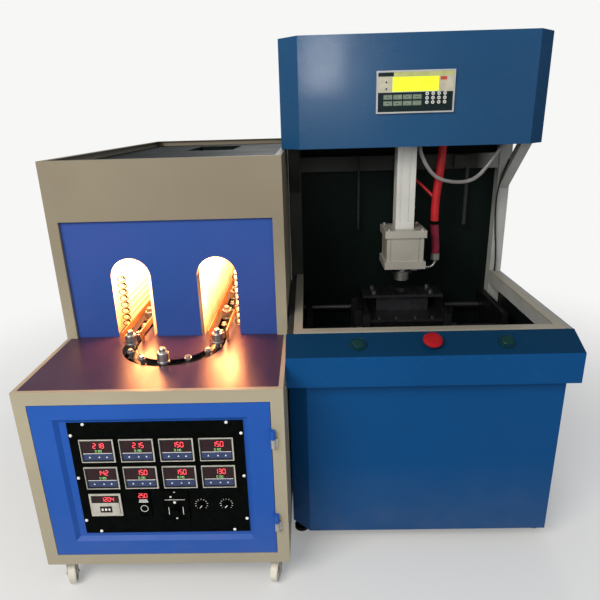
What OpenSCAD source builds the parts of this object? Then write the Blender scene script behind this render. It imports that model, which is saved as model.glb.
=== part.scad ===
// Semi-automatic blow moulding machine for bottles, in two cabinets that stand side by side.
// Left, the heater: a chain carries preforms through two lamp-lit tunnels.
// Right, the press: a clamp closes two mould halves and a head above stretches and blows the bottle.
// Working frame: X to the right from the heater's left side, Y to the rear from the heater's front frame,
// Z up from the floor. The finished model is moved so that its origin lies under the middle of its box.

/* [Heater cabinet] */
// Width of the heater
heater_w = 815; // [795:5:835]
// Depth of the heater
heater_d = 1940; // [1920:10:2000]
// Height of the worktable above the floor
table_z = 760; // [740:5:780]
// Height of the upper cover's rim above the floor
box_top_z = 1397; // [1370:1:1398]
// Distance from the front frame back to the upper cover
box_y = 410; // [395:5:430]
// Height of the plain fascia above the blue front
fascia_h = 205; // [180:5:215]
// Width of the cream strip on each side of the blue front
strip_w = 38; // [30:1:45]
// Side of the frame's square tube
tube = 40; // [36:1:44]
// Thickness of the covers
sheet = 2; // [1.5:0.5:3]
// Thickness of the worktable
table_t = 3; // [2:0.5:5]
// Width of the cream rim round the worktable
rim_w = 14; // [10:1:18]
// Height of a caster, from floor to frame
caster_h = 110; // [106:1:120]
// Diameter of a caster's wheel
wheel_d = 75; // [70:1:78]

/* [Oven] */
// Radius at which the chain turns, which sets the two lanes apart
lane_r = 154; // [150:1:158]
// Distance from the front frame to the front wheel's centre
front_turn_y = 342; // [335:1:350]
// Number of chain pins in one whole turn of a wheel
turn_count = 12; // [12:3:15]
// Number of chain pins on each straight lane
lane_count = 15; // [12:3:15]
// Every so many pins one carries a holder for a preform
holder_every = 3; // [1:2:3]
// Half the width of the slot that the mandrels run in
slot_half = 25; // [23:1:27]
// Width of each arched opening
arch_w = 143; // [130:1:150]
// Height of each arched opening above the table
arch_h = 297; // [280:1:310]
// Number of lamps on each side
lamp_count = 8; // [6:1:9]
// Height between two lamps
lamp_pitch = 25; // [22:1:26]
// Diameter of a lamp
lamp_d = 11; // [10:0.5:12]
// Distance from the lane's middle to its lamps
lamp_off = 60; // [56:1:64]

/* [Control door] */
// Width of the dished recess
dish_w = 597; // [580:1:620]
// Height of the dished recess
dish_h = 463; // [450:1:480]
// Depth of the dished recess
dish_d = 12; // [8:1:14]
// Width of the black control plate
plate_w = 541; // [530:1:556]
// Height of the black control plate
plate_h = 417; // [410:1:430]
// Width of one lamp regulator's frame
module_w = 106; // [96:1:112]
// Height of one lamp regulator's frame
module_h = 82; // [76:1:88]
// Distance between two regulators across
module_px = 123.5; // [120:0.5:128]
// Distance between two regulators up
module_pz = 100; // [96:1:106]

/* [Press cabinet] */
// Gap between the two cabinets
cabinet_gap = 2; // [1:1:20]
// Width of the sloped console
console_w = 956; // [954:2:966]
// Distance from the heater's front frame to the console's front
console_y = 155; // [140:5:170]
// Height of the console's lower edge
console_z = 677; // [660:1:690]
// Height of the console's upright face
console_face = 106; // [96:1:110]
// Depth of the console's slope
slope_d = 97; // [90:1:104]
// Rise of the console's slope
slope_rise = 45; // [40:1:50]
// Setback of the base cover from the console's front
base_set = 40; // [30:1:50]
// Width of the left chamfer of the base and console
chamfer_left = 63; // [45:2:71]
// Width of the right chamfer of the base and console
chamfer_right = 25; // [19:2:35]
// Depth of a base corner's chamfer
base_chamfer_y = 60; // [50:1:66]
// Height of the base above the floor
base_z = 60; // [50:1:80]
// How far the hood reaches past each side of the press
hood_over = 14; // [9:1:19]
// Distance from the heater's front frame to the hood's front
hood_y = 642; // [630:1:660]
// Depth of the hood
hood_d = 415; // [410:5:450]
// Height of the hood's lower edge above the floor
hood_z = 1400; // [1398:2:1430]
// Height of the hood
hood_h = 380; // [340:5:400]
// Chamfer of the hood's front corners
hood_chamfer = 70; // [60:1:80]
// Side of the press frame's square tube
press_tube = 50; // [46:1:54]
// Distance from the heater's front frame to the back of the columns
column_back_y = 995; // [990:1:1000]
// Outer width of the tray frame
tray_w = 905; // [895:1:920]
// Thickness of the tray frame's rails
tray_t = 6; // [5:1:12]

/* [Blow station] */
// Distance from the heater's front frame to the mould's middle
station_y = 815; // [810:1:820]
// Height of the mould halves' top
mould_top_z = 715; // [712:1:725]
// Height of a mould half
mould_h = 316; // [308:1:320]
// Height of the neck plates' top
neck_top_z = 790; // [780:1:794]
// Thickness of a mould half
mould_t = 150; // [140:1:156]
// Depth of a mould half, front to back
mould_d = 240; // [230:1:244]
// Radius of the bottle's body
bottle_r = 100; // [90:1:104]
// Radius of the bottle's neck
neck_r = 27; // [22:1:30]
// Travel of each mould half
clamp_stroke = 130; // [110:1:132]
// Diameter of the tie bars
tie_d = 36; // [32:1:38]
// Distance of the tie bars in front of and behind the mould's middle
tie_y = 145; // [144:1:148]
// Side of the sealing cylinder's flanges
seal_w = 168; // [160:1:176]
// Height of the sealing cylinder
seal_h = 160; // [150:1:170]
// Height of the sealing cylinder's lower face
seal_z = 907; // [900:1:912]
// Side of the stretch cylinder's profile
profile_w = 75; // [70:1:78]
// Length of the stretch cylinder's profile
profile_l = 530; // [510:1:560]
// Diameter of the stretch rod
rod_d = 16; // [12:1:18]
// Travel of the stretch rod
rod_stroke = 400; // [360:1:400]
// Travel of the blow nozzle
nozzle_stroke = 50; // [40:1:52]
// Travel of the base mould
base_stroke = 50; // [40:1:55]

/* [Buttons] */
// Distance of each start button from the stop button
start_off = 241; // [220:1:245]
// Diameter of a start button's cap
start_d = 40; // [36:1:44]
// Diameter of the stop button's head
stop_d = 63; // [58:1:66]
// Travel of a start button
start_travel = 5; // [4:0.5:6]
// Travel of the stop button
stop_travel = 6; // [5:0.5:7]

/* [Fits] */
// Clearance on the radius of a shaft in its hole
fit = 0.05; // [0.03:0.01:0.08]
// Clearance between two pieces that pass each other
gap = 0.3; // [0.25:0.05:0.4]

/* [Hidden] */
$fn = 48;
// Hairline overlap that lets a cut run past a face
past = 1;
cream = "#c9c4b2";
blue = "#1d4fa0";
press_blue = "#1f6ea8";
navy = "#26306e";
steel = "silver";
dark = "#2b2d30";
white = "#e8e6df";

// Heater heights
table_low = table_z - table_t;
rail_low = table_low - tube;
door_low = caster_h + tube;
fascia_low = box_top_z - fascia_h;
deck_z = box_top_z - 30;
deck_t = 2;
cover_back = heater_d;
panel_y = box_y + 12;
tunnel_y = panel_y + sheet + 2;
tunnel_l = 1120;

// Chain path
lane_cx = heater_w / 2 + 7.5;
pitch = 2 * PI * lane_r / turn_count;
lane_l = lane_count * pitch;
rear_turn_y = front_turn_y + lane_l;
pin_count = turn_count + 2 * lane_count;
bed_top = table_z - 64;
bed_t = 6;
rail_top = bed_top + 20;
shaft_d = 14;
bush_d = 20;
bush_top = rail_top + gap + 22;
link_t = 4;
link_w = 24;
link_low = bush_top + gap;
wheel_t = 9;
wheel_z = bush_top - wheel_t - 1;
wheel_r = lane_r - bush_d / 2 - 1.5;
post_d = 30;
drive_shaft_d = 25;
gearbox_h = 70;
gearbox_w = 96;
cross_y = [200, rear_turn_y + 56];

// Door
door_gap = 2;
door_x0 = tube + door_gap;
door_x1 = heater_w - tube - door_gap;
door_z0 = door_low + door_gap;
door_z1 = rail_low - door_gap;
door_t = 20;
door_cx = (door_x0 + door_x1) / 2;
door_cz = (door_z0 + door_z1) / 2;
dish_lip = 20;
plate_t = 3;
plate_front = dish_d - plate_t;
dish_cz = door_cz + 3;
plate_cx = door_cx + 10;
plate_cz = dish_cz + 5;
hinge_r = 8;
hinge_pin_d = 8;
hinge_x = heater_w - tube + 4;
hinge_y = -hinge_r - 0.5;
hinge_half = 30;
hinge_zs = [door_z0 + 99, door_z1 - 152];
module_row_z = plate_cz + 110;
module_x0 = plate_cx - 1 - 1.5 * module_px;
lower_row_z = plate_cz - 93;
knob_x = [plate_cx + 119, plate_cx + 200];
knob_z = plate_cz - 99;
speed_x = plate_cx + 36;
speed_z = plate_cz - 99;

// Casters
plate_top_t = 4;
kingpin_d = 10;
fork_top = caster_h - plate_top_t - gap;
trail = 28;
axle_d = 8;
caster_w = 24;
caster_in = [46, 66];
caster_turn = [200, 168, 30, -25];
casters = [
    [caster_in.x, caster_in.y],
    [heater_w - caster_in.x, caster_in.y],
    [caster_in.x, heater_d - caster_in.y],
    [heater_w - caster_in.x, heater_d - caster_in.y]
];

// Press, counted from its middle plane
press_x = heater_w + cabinet_gap + console_w / 2;
base_y = console_y + base_set;
slope_z = console_z + console_face;
slope_top = slope_z + slope_rise;
slope_back = console_y + slope_d;
slope_angle = atan(slope_rise / slope_d);
slope_l = norm([slope_d, slope_rise]);
skin_half = console_w / 2 - 3;
frame_half = skin_half - sheet;
flat_left = skin_half - chamfer_left;
flat_right = skin_half - chamfer_right;
side_y = base_y + base_chamfer_y + sheet;
column_y = column_back_y - press_tube;
side_top = slope_top;
cover_t = 2;
hood_w = console_w + 2 * hood_over;
hood_back = hood_y + hood_d;
hood_top = hood_z + hood_h;
head_z = hood_z + 25;
head_t = 12;
head_front = hood_y + 58;
bay_rail_z = 290;
cross_front_y = station_y - 160;
cross_back_y = station_y + 100;
tray_z = side_top + tray_t;
tray_rail = 30;
strut_w = 40;
beam_z = head_z - 138;
beam_h = 62;

// Blow station
parting = gap / 2;
platen_t = 30;
platen_in = mould_t;
platen_out = platen_in + platen_t;
platen_half_y = 175;
platen_z = bay_rail_z + press_tube + 5;
platen_top = mould_top_z + 28;
plate_in = 385;
end_plate_t = 25;
end_plate_top = platen_top - 3;
tie_z = [platen_z + 60, mould_top_z - 50];
boss_l = 28;
cyl_in = platen_out + clamp_stroke + 2;
cyl_out = frame_half - 3;
cyl_d = 130;
clamp_rod_d = 35;
rod_grip = 20;
cavity_z = mould_top_z - mould_h;
base_r = bottle_r - 4;
mould_plate_t = 12;
mould_plate_d = 320;
neck_plate_t = 12;
neck_plate_w = 134;
neck_plate_l = 168;
collar_d = 62;
collar_h = 38;
nozzle_d = 37;
nozzle_bore = rod_d + 6;
collar_z = seal_z - 28 - collar_h;
flange_z = seal_z - 26;
port_z = flange_z + 4;
seal_top = seal_z + seal_h;
base_rod_d = 30;
base_cyl_d = 100;
base_cyl_top = cavity_z - 42 - base_stroke - 8;
elbow_x = 64;
elbow_r = 28;
elbow_d = 12;
hose_end_x = elbow_x + 49 + elbow_r;
nut_z = port_z + elbow_r + 8;
nut_h = 28;

// Box of the whole object, which sets the origin
all_w = press_x + hood_w / 2;
front_out = hinge_y - hinge_r;
all_mid_y = (front_out + cover_back) / 2;

// Moves a piece from the working frame to the finished one
module placed() {
    translate([-all_w / 2, -all_mid_y, 0]) children();
}

// Moves a piece of the press from its middle plane to the working frame
module at_press() {
    translate([press_x, 0, 0]) children();
}

// A box between two opposite corners
module block(low, high) {
    translate(low) cube(high - low);
}

// A box that lies between -x and x on both sides of the middle plane, twice
module both_sides() {
    children();
    mirror([1, 0, 0]) children();
}

// A cylinder along X
module bar_x(x0, x1, y, z, d) {
    translate([x0, y, z]) rotate([0, 90, 0]) cylinder(h = x1 - x0, d = d);
}

// A cylinder along Y
module bar_y(y0, y1, x, z, d) {
    translate([x, y0, z]) rotate([-90, 0, 0]) cylinder(h = y1 - y0, d = d);
}

// A cylinder along Z
module bar_z(z0, z1, x, y, d) {
    translate([x, y, z0]) cylinder(h = z1 - z0, d = d);
}

// Plan outline of the chain path, as wide as a radius says
module track_outline(r) {
    for (y = [front_turn_y, rear_turn_y]) translate([lane_cx, y]) circle(r = r, $fn = 96);
    translate([lane_cx - r, front_turn_y]) square([2 * r, lane_l]);
}

// Point of the chain path at a distance along it, from the left lane's front end
function track(s) =
    let (turn = PI * lane_r)
    s < lane_l ? [lane_cx - lane_r, front_turn_y + s] :
    s < lane_l + turn ?
        let (a = (s - lane_l) / lane_r * 180 / PI)
        [lane_cx - lane_r * cos(a), rear_turn_y + lane_r * sin(a)] :
    s < 2 * lane_l + turn ? [lane_cx + lane_r, rear_turn_y - (s - lane_l - turn)] :
        let (a = (s - 2 * lane_l - turn) / lane_r * 180 / PI)
        [lane_cx + lane_r * cos(a), front_turn_y - lane_r * sin(a)];

track_l = 2 * lane_l + 2 * PI * lane_r;
first_s = 2 * lane_l + 1.5 * PI * lane_r;
function mandrel_at(i) = track((first_s + i * pitch) % track_l);

module heater_frame() color(cream) difference() {
    union() {
        for (x = [0, heater_w - tube], y = [0, heater_d - tube])
            block([x, y, caster_h], [x + tube, y + tube, table_low]);
        for (z = [caster_h, rail_low]) {
            for (y = [0, heater_d - tube]) block([0, y, z], [heater_w, y + tube, z + tube]);
            for (x = [0, heater_w - tube]) block([x, 0, z], [x + tube, heater_d, z + tube]);
        }
        for (y = cross_y) {
            block([0, y, bed_top - bed_t - tube], [heater_w, y + tube, bed_top - bed_t]);
            for (x = [0, heater_w - tube]) block([x, y, caster_h], [x + tube, y + tube, table_low]);
        }
        difference() {
            block([0, 0, table_low], [heater_w, heater_d, table_z]);
            block([rim_w, rim_w, table_low - past], [heater_w - rim_w, heater_d - rim_w, table_z + past]);
        }
        for (c = casters) translate([c.x - 32, c.y - 32, caster_h - plate_top_t]) cube([64, 64, plate_top_t]);
    }
    for (c = casters) bar_z(caster_h - plate_top_t - past, caster_h + 12, c.x, c.y, kingpin_d + 2 * fit);
}

module heater_table() color(navy) translate([0, 0, table_low]) linear_extrude(table_t) difference() {
    translate([rim_w, rim_w]) square([heater_w - 2 * rim_w, heater_d - 2 * rim_w]);
    difference() {
        track_outline(lane_r + slot_half);
        track_outline(lane_r - slot_half);
    }
}

module heater_box() color(cream) {
    difference() {
        block([0, box_y, table_z], [heater_w, cover_back, box_top_z]);
        block([sheet, box_y + sheet, table_z - past], [heater_w - sheet, cover_back - sheet, box_top_z + past]);
        block([strip_w, box_y - past, table_z - past], [heater_w - strip_w, panel_y, fascia_low]);
    }
    difference() {
        block([sheet / 2, box_y + sheet / 2, box_top_z - sheet], [heater_w - sheet / 2, cover_back - sheet / 2, box_top_z]);
        block([22, box_y + 22, box_top_z - 2 * sheet], [heater_w - 22, cover_back - 22, box_top_z + past]);
    }
    for (x = [strip_w - sheet, heater_w - strip_w]) block([x, box_y, table_z], [x + sheet, panel_y, fascia_low]);
    block([strip_w - sheet, box_y, fascia_low], [heater_w - strip_w + sheet, panel_y, fascia_low + sheet]);
}

module arched_panel() color(blue) difference() {
    block([strip_w - 18, panel_y, table_z], [heater_w - strip_w + 18, panel_y + sheet, fascia_low + 18]);
    for (side = [-1, 1]) {
        lane_x = lane_cx + side * lane_r;
        bar_y(panel_y - past, panel_y + sheet + past, lane_x, table_z + arch_h - arch_w / 2, arch_w);
        block([lane_x - arch_w / 2, panel_y - past, table_z - past],
            [lane_x + arch_w / 2, panel_y + sheet + past, table_z + arch_h - arch_w / 2]);
    }
}

fan_x = lane_cx;
fan_y = rear_turn_y - 10;
fan_r = 84;
vent_w = 232;
vent_l = 400;

module oven_deck() color(dark) {
    difference() {
        block([sheet, box_y + sheet, deck_z], [heater_w - sheet, cover_back - sheet, deck_z + deck_t]);
        translate([fan_x - vent_w / 2, fan_y - vent_l / 2, deck_z - past]) cube([vent_w, vent_l, deck_t + 2 * past]);
    }
    difference() {
        translate([fan_x - vent_w / 2 - 12, fan_y - vent_l / 2 - 12, deck_z - 46]) cube([vent_w + 24, vent_l + 24, 46]);
        translate([fan_x - vent_w / 2, fan_y - vent_l / 2, deck_z - 40]) cube([vent_w, vent_l, 42]);
        bar_z(deck_z - 48, deck_z, fan_x, fan_y, 2 * fan_r + 12);
    }
    block([fan_x - fan_r - 14, fan_y - 6, deck_z - 45], [fan_x + fan_r + 14, fan_y + 6, deck_z - 41]);
    block([fan_x - 6, fan_y - fan_r - 14, deck_z - 45], [fan_x + 6, fan_y + fan_r + 14, deck_z - 41]);
    bar_z(deck_z - 47, deck_z - 34, fan_x, fan_y, 46);
    bar_z(deck_z - 36, deck_z - 14, fan_x, fan_y, 12);
}

module exhaust_fan() color(dark) translate([fan_x, fan_y, deck_z - 34 + gap]) difference() {
    union() {
        cylinder(h = 22, d = 58);
        for (i = [0:6]) rotate(i * 360 / 7) translate([26, -1, 11]) rotate([32, 0, 0])
            translate([0, -16, 0]) cube([fan_r - 30, 32, 1.6]);
    }
    translate([0, 0, -past]) cylinder(h = 22 - 2 + past, d = 12 + 2 * fit);
}

module heater_skins() color(cream) {
    for (x = [1, heater_w - 1 - sheet]) {
        ys = [tube, cross_y[0], cross_y[0] + tube, cross_y[1], cross_y[1] + tube, heater_d - tube];
        for (i = [0:2:4]) block([x, ys[i], door_low], [x + sheet, ys[i + 1], rail_low]);
    }
    block([tube, heater_d - 1 - sheet, door_low], [heater_w - tube, heater_d - 1, rail_low]);
}

// A four-sided dish that narrows towards its floor
module dish(w, h, w1, h1, d) {
    rotate([-90, 0, 0]) linear_extrude(height = d, scale = [w1 / w, h1 / h]) square([w, h], center = true);
}

module knuckle(z0, z1, out) {
    translate([hinge_x, hinge_y, z0]) cylinder(h = z1 - z0, r = hinge_r);
    for (s = [[6, 14, -3, 0], [0, 12, -6, -1]])
        translate([hinge_x + (out > 0 ? s[0] : -s[1]), s[2], z0]) cube([s[1] - s[0], s[3] - s[2], z1 - z0]);
}

module control_door() color(blue) difference() {
    union() {
        difference() {
            block([door_x0, 0, door_z0], [door_x1, door_t, door_z1]);
            block([door_x0 + sheet, sheet, door_z0 + sheet], [door_x1 - sheet, door_t + past, door_z1 - sheet]);
        }
        translate([door_cx, 0, dish_cz]) dish(dish_w, dish_h, dish_w - 2 * dish_d, dish_h - 2 * dish_d, dish_d + sheet);
        for (z = hinge_zs) knuckle(z + hinge_half + gap, z + 2 * hinge_half, -1);
    }
    translate([door_cx, -0.01, dish_cz]) dish(dish_w - 2 * sheet, dish_h - 2 * sheet,
        dish_w - 2 * dish_d - 2 * sheet, dish_h - 2 * dish_d - 2 * sheet, dish_d + 0.01);
    block([plate_cx - plate_w / 2 + dish_lip, 0, plate_cz - plate_h / 2 + dish_lip],
        [plate_cx + plate_w / 2 - dish_lip, door_t + past, plate_cz + plate_h / 2 - dish_lip]);
    for (z = hinge_zs) bar_z(z + hinge_half - past, z + 2 * hinge_half - 3, hinge_x, hinge_y, hinge_pin_d + 2 * fit);
}

module hinge_halves() color(steel) for (z = hinge_zs) {
    knuckle(z, z + hinge_half, 1);
    bar_z(z + hinge_half - past, z + 2 * hinge_half - 4, hinge_x, hinge_y, hinge_pin_d);
}

// Places its children at each lamp regulator
module at_modules() {
    for (i = [0:3], j = [0, 1])
        translate([module_x0 + i * module_px, plate_front, module_row_z - j * module_pz]) children();
}

counter_x = module_x0 - 2;
drive_x = plate_cx - 66;
speed_w = 85;
speed_h = 120;

module control_plate() color(dark) difference() {
    translate([plate_cx - plate_w / 2, plate_front, plate_cz - plate_h / 2]) cube([plate_w, plate_t, plate_h]);
    at_modules() cube([module_w - 12, 20, module_h - 12], center = true);
    translate([counter_x, plate_front, lower_row_z]) cube([88, 20, 70], center = true);
    translate([drive_x, plate_front, lower_row_z]) cube([36, 20, 88], center = true);
    translate([speed_x, plate_front, speed_z]) cube([speed_w - 14, 20, speed_h - 14], center = true);
    for (x = knob_x) bar_y(plate_front - past, plate_front + plate_t + past, x, knob_z, 10 + 2 * fit);
}

// A panel instrument: a frame on the plate and a case through the cut-out, with a sunk window
module instrument(w, h, case_w, case_h, case_d) {
    difference() {
        union() {
            translate([-w / 2, -6, -h / 2]) cube([w, 6, h]);
            translate([-case_w / 2, -past, -case_h / 2]) cube([case_w, case_d + past, case_h]);
        }
        translate([-w / 2 + 6, -6 - past, -h / 2 + 6]) cube([w - 12, 3 + past, h - 12]);
    }
}

module display_modules() color(dark) {
    at_modules() instrument(module_w, module_h, module_w - 13, module_h - 13, 60);
    translate([counter_x, plate_front, lower_row_z]) instrument(102, 85, 87, 69, 60);
}

module motor_drive() color(dark) translate([drive_x, plate_front, lower_row_z]) instrument(44, 100, 35, 87, 80);

module speed_controller() color(dark) translate([speed_x, plate_front, speed_z]) difference() {
    instrument(speed_w, speed_h, speed_w - 15, speed_h - 15, 45);
    translate([0, 20, -24]) rotate([90, 0, 0]) cylinder(h = 40, d = 6 + 2 * fit);
}

// A turning knob on its spindle, with a pointer groove
module knob(d, h, spindle_l) {
    difference() {
        rotate([90, 0, 0]) cylinder(h = h, d1 = d, d2 = d - 3);
        translate([-0.6, -h - past, 2]) cube([1.2, 2 + past, d / 2]);
        for (i = [0:11]) rotate([0, i * 30 + 15, 0]) translate([d / 2 + 0.6, past, 0]) rotate([90, 0, 0])
            cylinder(h = h + 2 * past, d = 3.2, $fn = 16);
    }
    translate([0, -past, 0]) rotate([-90, 0, 0]) cylinder(h = spindle_l + past, d = 6);
}

module speed_knob() color(dark)
    translate([speed_x, plate_front - 3 - gap, speed_z - 24]) knob(30, 13, 18);

// A timer's knob on a spindle that turns in the plate
module timer_knob(x) color(steel) {
    translate([x, plate_front - gap, knob_z]) knob(24, 15, 3);
    bar_y(plate_front, plate_front + plate_t + 14, x, knob_z, 10);
}

module left_timer_knob() timer_knob(knob_x[0]);
module right_timer_knob() timer_knob(knob_x[1]);

tunnel_h = arch_h + 22;
lamp_low = table_z + 26;
carrier_y = [tunnel_y + 92, tunnel_y + tunnel_l - 60];
carrier_top = lamp_low + (lamp_count - 1) * lamp_pitch + 16;

module oven_tunnels() color(steel) for (side = [-1, 1]) {
    lane_x = lane_cx + side * lane_r;
    outer = lane_x + side * 84;
    inner = lane_x - side * 60;
    low_x = min(outer, inner);
    high_x = max(outer, inner);
    wall_top = table_z + tunnel_h - 1.5;
    for (x = [low_x - 1.5, high_x]) block([x, tunnel_y, table_z], [x + 1.5, tunnel_y + tunnel_l, wall_top - gap]);
    block([low_x - 1.5, tunnel_y, wall_top], [high_x + 1.5, tunnel_y + tunnel_l, wall_top + 1.5]);
    for (y = carrier_y) difference() {
        block([lane_x + side * lamp_off - 11, y, table_z], [lane_x + side * lamp_off + 11, y + 6, carrier_top]);
        for (i = [0:lamp_count - 1])
            bar_y(y - past, y + 6 + past, lane_x + side * lamp_off, lamp_low + i * lamp_pitch, lamp_d + 0.4);
    }
}

module quartz_lamps() color(white) for (side = [-1, 1], i = [0:lamp_count - 1])
    bar_y(carrier_y[0] - 22, carrier_y[1] + 28, lane_cx + side * (lane_r + lamp_off), lamp_low + i * lamp_pitch, lamp_d);

rail_off = 30;
rail_y0 = front_turn_y + 8;
rail_y1 = tunnel_y + tunnel_l;

module shield_rails() color("#c46a3a") for (side = [-1, 1], s = [-1, 1]) {
    x = lane_cx + side * lane_r + s * (rail_off + 2);
    block([x - 2, rail_y0, table_z + 22], [x + 2, rail_y1, table_z + 46]);
    for (i = [0:3]) translate([x - 4, rail_y0 + 20 + i * (rail_y1 - rail_y0 - 52) / 3, table_z]) cube([8, 12, 24]);
}

module conveyor_bed() color(dark) difference() {
    union() {
        translate([lane_cx - lane_r - 50, 130, bed_top - bed_t])
            cube([2 * lane_r + 100, rear_turn_y + lane_r - 60, bed_t]);
        translate([0, 0, bed_top]) linear_extrude(rail_top - bed_top) difference() {
            track_outline(lane_r + 9);
            track_outline(lane_r - 9);
        }
        bar_z(bed_top, table_low, lane_cx, front_turn_y, post_d);
        for (i = [1, 2, 3]) bar_z(bed_top, table_low, lane_cx, front_turn_y + i * lane_l / 4, 40);
    }
    bar_z(bed_top - bed_t - past, bed_top + past, lane_cx, rear_turn_y, drive_shaft_d + 4);
}

module link(a, b) {
    d = b - a;
    difference() {
        union() {
            for (p = [a, b]) translate(p) circle(d = link_w);
            translate(a) rotate(atan2(d.y, d.x)) translate([0, -link_w / 2 + 4]) square([norm(d), link_w - 8]);
        }
        for (p = [a, b]) translate(p) circle(d = shaft_d + 0.3);
    }
}

module conveyor_chain() color(steel) for (i = [0:pin_count - 1])
    translate([0, 0, link_low + (i % 2) * (link_t + gap / 2)
        + (i == pin_count - 1 && pin_count % 2 == 1 ? 2 * link_t + gap : 0)])
        linear_extrude(link_t) link(mandrel_at(i), mandrel_at(i + 1));

pin_foot = [
    [0, rail_top + gap], [bush_d / 2, rail_top + gap], [bush_d / 2, bush_top], [shaft_d / 2, bush_top],
    [shaft_d / 2, table_z + 3]
];
plain_head = [
    [11, table_z + 3], [12, table_z + 4], [12, table_z + 10], [9, table_z + 12], [9, table_z + 16],
    [7, table_z + 18], [0, table_z + 18]
];
holder_head = [
    [20, table_z + 3], [20, table_z + 9], [18, table_z + 11], [18, table_z + 15], [19.5, table_z + 17],
    [19.5, table_z + 38], [17, table_z + 41], [11, table_z + 41], [11, table_z + 52], [8, table_z + 56], [0, table_z + 56]
];

// Chain pins that ride on the rail; every few of them end in a preform holder
module mandrels() color(steel) for (i = [0:pin_count - 1])
    translate(mandrel_at(i)) rotate_extrude($fn = 24)
        polygon(concat(pin_foot, i % holder_every == 0 ? holder_head : plain_head));

// A spoked chain wheel that turns on its own middle
module chain_wheel(bore_d, hub_low, hub_high) {
    difference() {
        union() {
            translate([0, 0, wheel_z]) cylinder(h = wheel_t, r = wheel_r, $fn = 96);
            translate([0, 0, hub_low]) cylinder(h = hub_high - hub_low, r = 30);
        }
        for (i = [0:4]) rotate(i * 72) translate([85, 0, wheel_z - past]) cylinder(h = wheel_t + 2 * past, r = 34);
        if (bore_d > 0) translate([0, 0, hub_low - past]) cylinder(h = hub_high - hub_low + 2 * past, d = bore_d);
    }
}

module front_wheel() color(steel) translate([lane_cx, front_turn_y, 0])
    chain_wheel(post_d + 2 * fit, bed_top + gap, wheel_z + wheel_t + 6);

module drive_wheel() color(steel) {
    translate([lane_cx, rear_turn_y, 0]) difference() {
        chain_wheel(0, bed_top + gap, wheel_z + wheel_t + 6);
        for (i = [0:turn_count - 1]) rotate(i * 360 / turn_count) translate([lane_r, 0, wheel_z - past])
            cylinder(h = wheel_t + 2 * past, d = bush_d + 8);
    }
    bar_z(bed_top - bed_t - 55, bed_top + 2, lane_cx, rear_turn_y, drive_shaft_d);
}

module gear_motor() color("#3c5a4c") {
    low = bed_top - bed_t - gearbox_h;
    difference() {
        translate([lane_cx - gearbox_w / 2, rear_turn_y - gearbox_w / 2, low]) cube([gearbox_w, gearbox_w, gearbox_h]);
        bar_z(bed_top - bed_t - 56, bed_top, lane_cx, rear_turn_y, drive_shaft_d + 2 * fit);
    }
    bar_y(rear_turn_y - gearbox_w / 2 - 210, rear_turn_y - gearbox_w / 2 + past, lane_cx, low + gearbox_h / 2 - 4, 62);
    for (i = [0:4]) bar_y(rear_turn_y - gearbox_w / 2 - 190 + i * 30, rear_turn_y - gearbox_w / 2 - 175 + i * 30,
        lane_cx, low + gearbox_h / 2 - 4, 68);
}

// Caster fork: kingpin, top disc, two arms and the axle, swivelled about its kingpin
module fork_shape() {
    axle_z = wheel_d / 2;
    translate([0, 0, fork_top - 6]) cylinder(h = 6, d = 52);
    translate([0, 0, fork_top - past]) cylinder(h = plate_top_t + gap + past + 4, d = kingpin_d);
    both_sides() translate([caster_w / 2 + 2, 0, 0]) rotate([90, 0, 90]) linear_extrude(3) union() {
        translate([trail, axle_z]) circle(r = 11);
        polygon([[-18, fork_top], [20, fork_top], [trail + 10, axle_z + 5], [trail - 10, axle_z - 5], [-14, fork_top - 18]]);
    }
    translate([-caster_w / 2 - 9, trail, axle_z]) rotate([0, 90, 0]) cylinder(h = caster_w + 18, d = axle_d);
}

module wheel_shape() translate([0, trail, wheel_d / 2]) rotate([0, 90, 0]) difference() {
    rotate_extrude($fn = 64) polygon([
        [0, -caster_w / 2 - 1.5], [10, -caster_w / 2 - 1.5], [10, -caster_w / 2 + 3], [wheel_d / 2 - 9, -caster_w / 2 + 3],
        [wheel_d / 2 - 9, -caster_w / 2], [wheel_d / 2 - 2, -caster_w / 2], [wheel_d / 2, -caster_w / 2 + 4],
        [wheel_d / 2, caster_w / 2 - 4], [wheel_d / 2 - 2, caster_w / 2], [wheel_d / 2 - 9, caster_w / 2],
        [wheel_d / 2 - 9, caster_w / 2 - 3], [10, caster_w / 2 - 3], [10, caster_w / 2 + 1.5], [0, caster_w / 2 + 1.5]
    ]);
    cylinder(h = 2 * caster_w, d = axle_d + 2 * fit, center = true);
}

module at_caster(i) translate([casters[i].x, casters[i].y, 0]) rotate(caster_turn[i]) children();
module caster_fork(i) color(steel) at_caster(i) fork_shape();
module caster_wheel(i) color(white) at_caster(i) wheel_shape();

// Slanted strut between a column and the head rails, on one side
module strut() {
    translate([frame_half - press_tube / 2 - strut_w / 2, 0, 0]) rotate([90, 0, 90]) linear_extrude(strut_w)
        polygon([[column_y + 5, beam_z - 90], [column_y + 5, beam_z - 38], [head_front + 44, head_z + 5], [head_front, head_z + 5]]);
}

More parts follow.
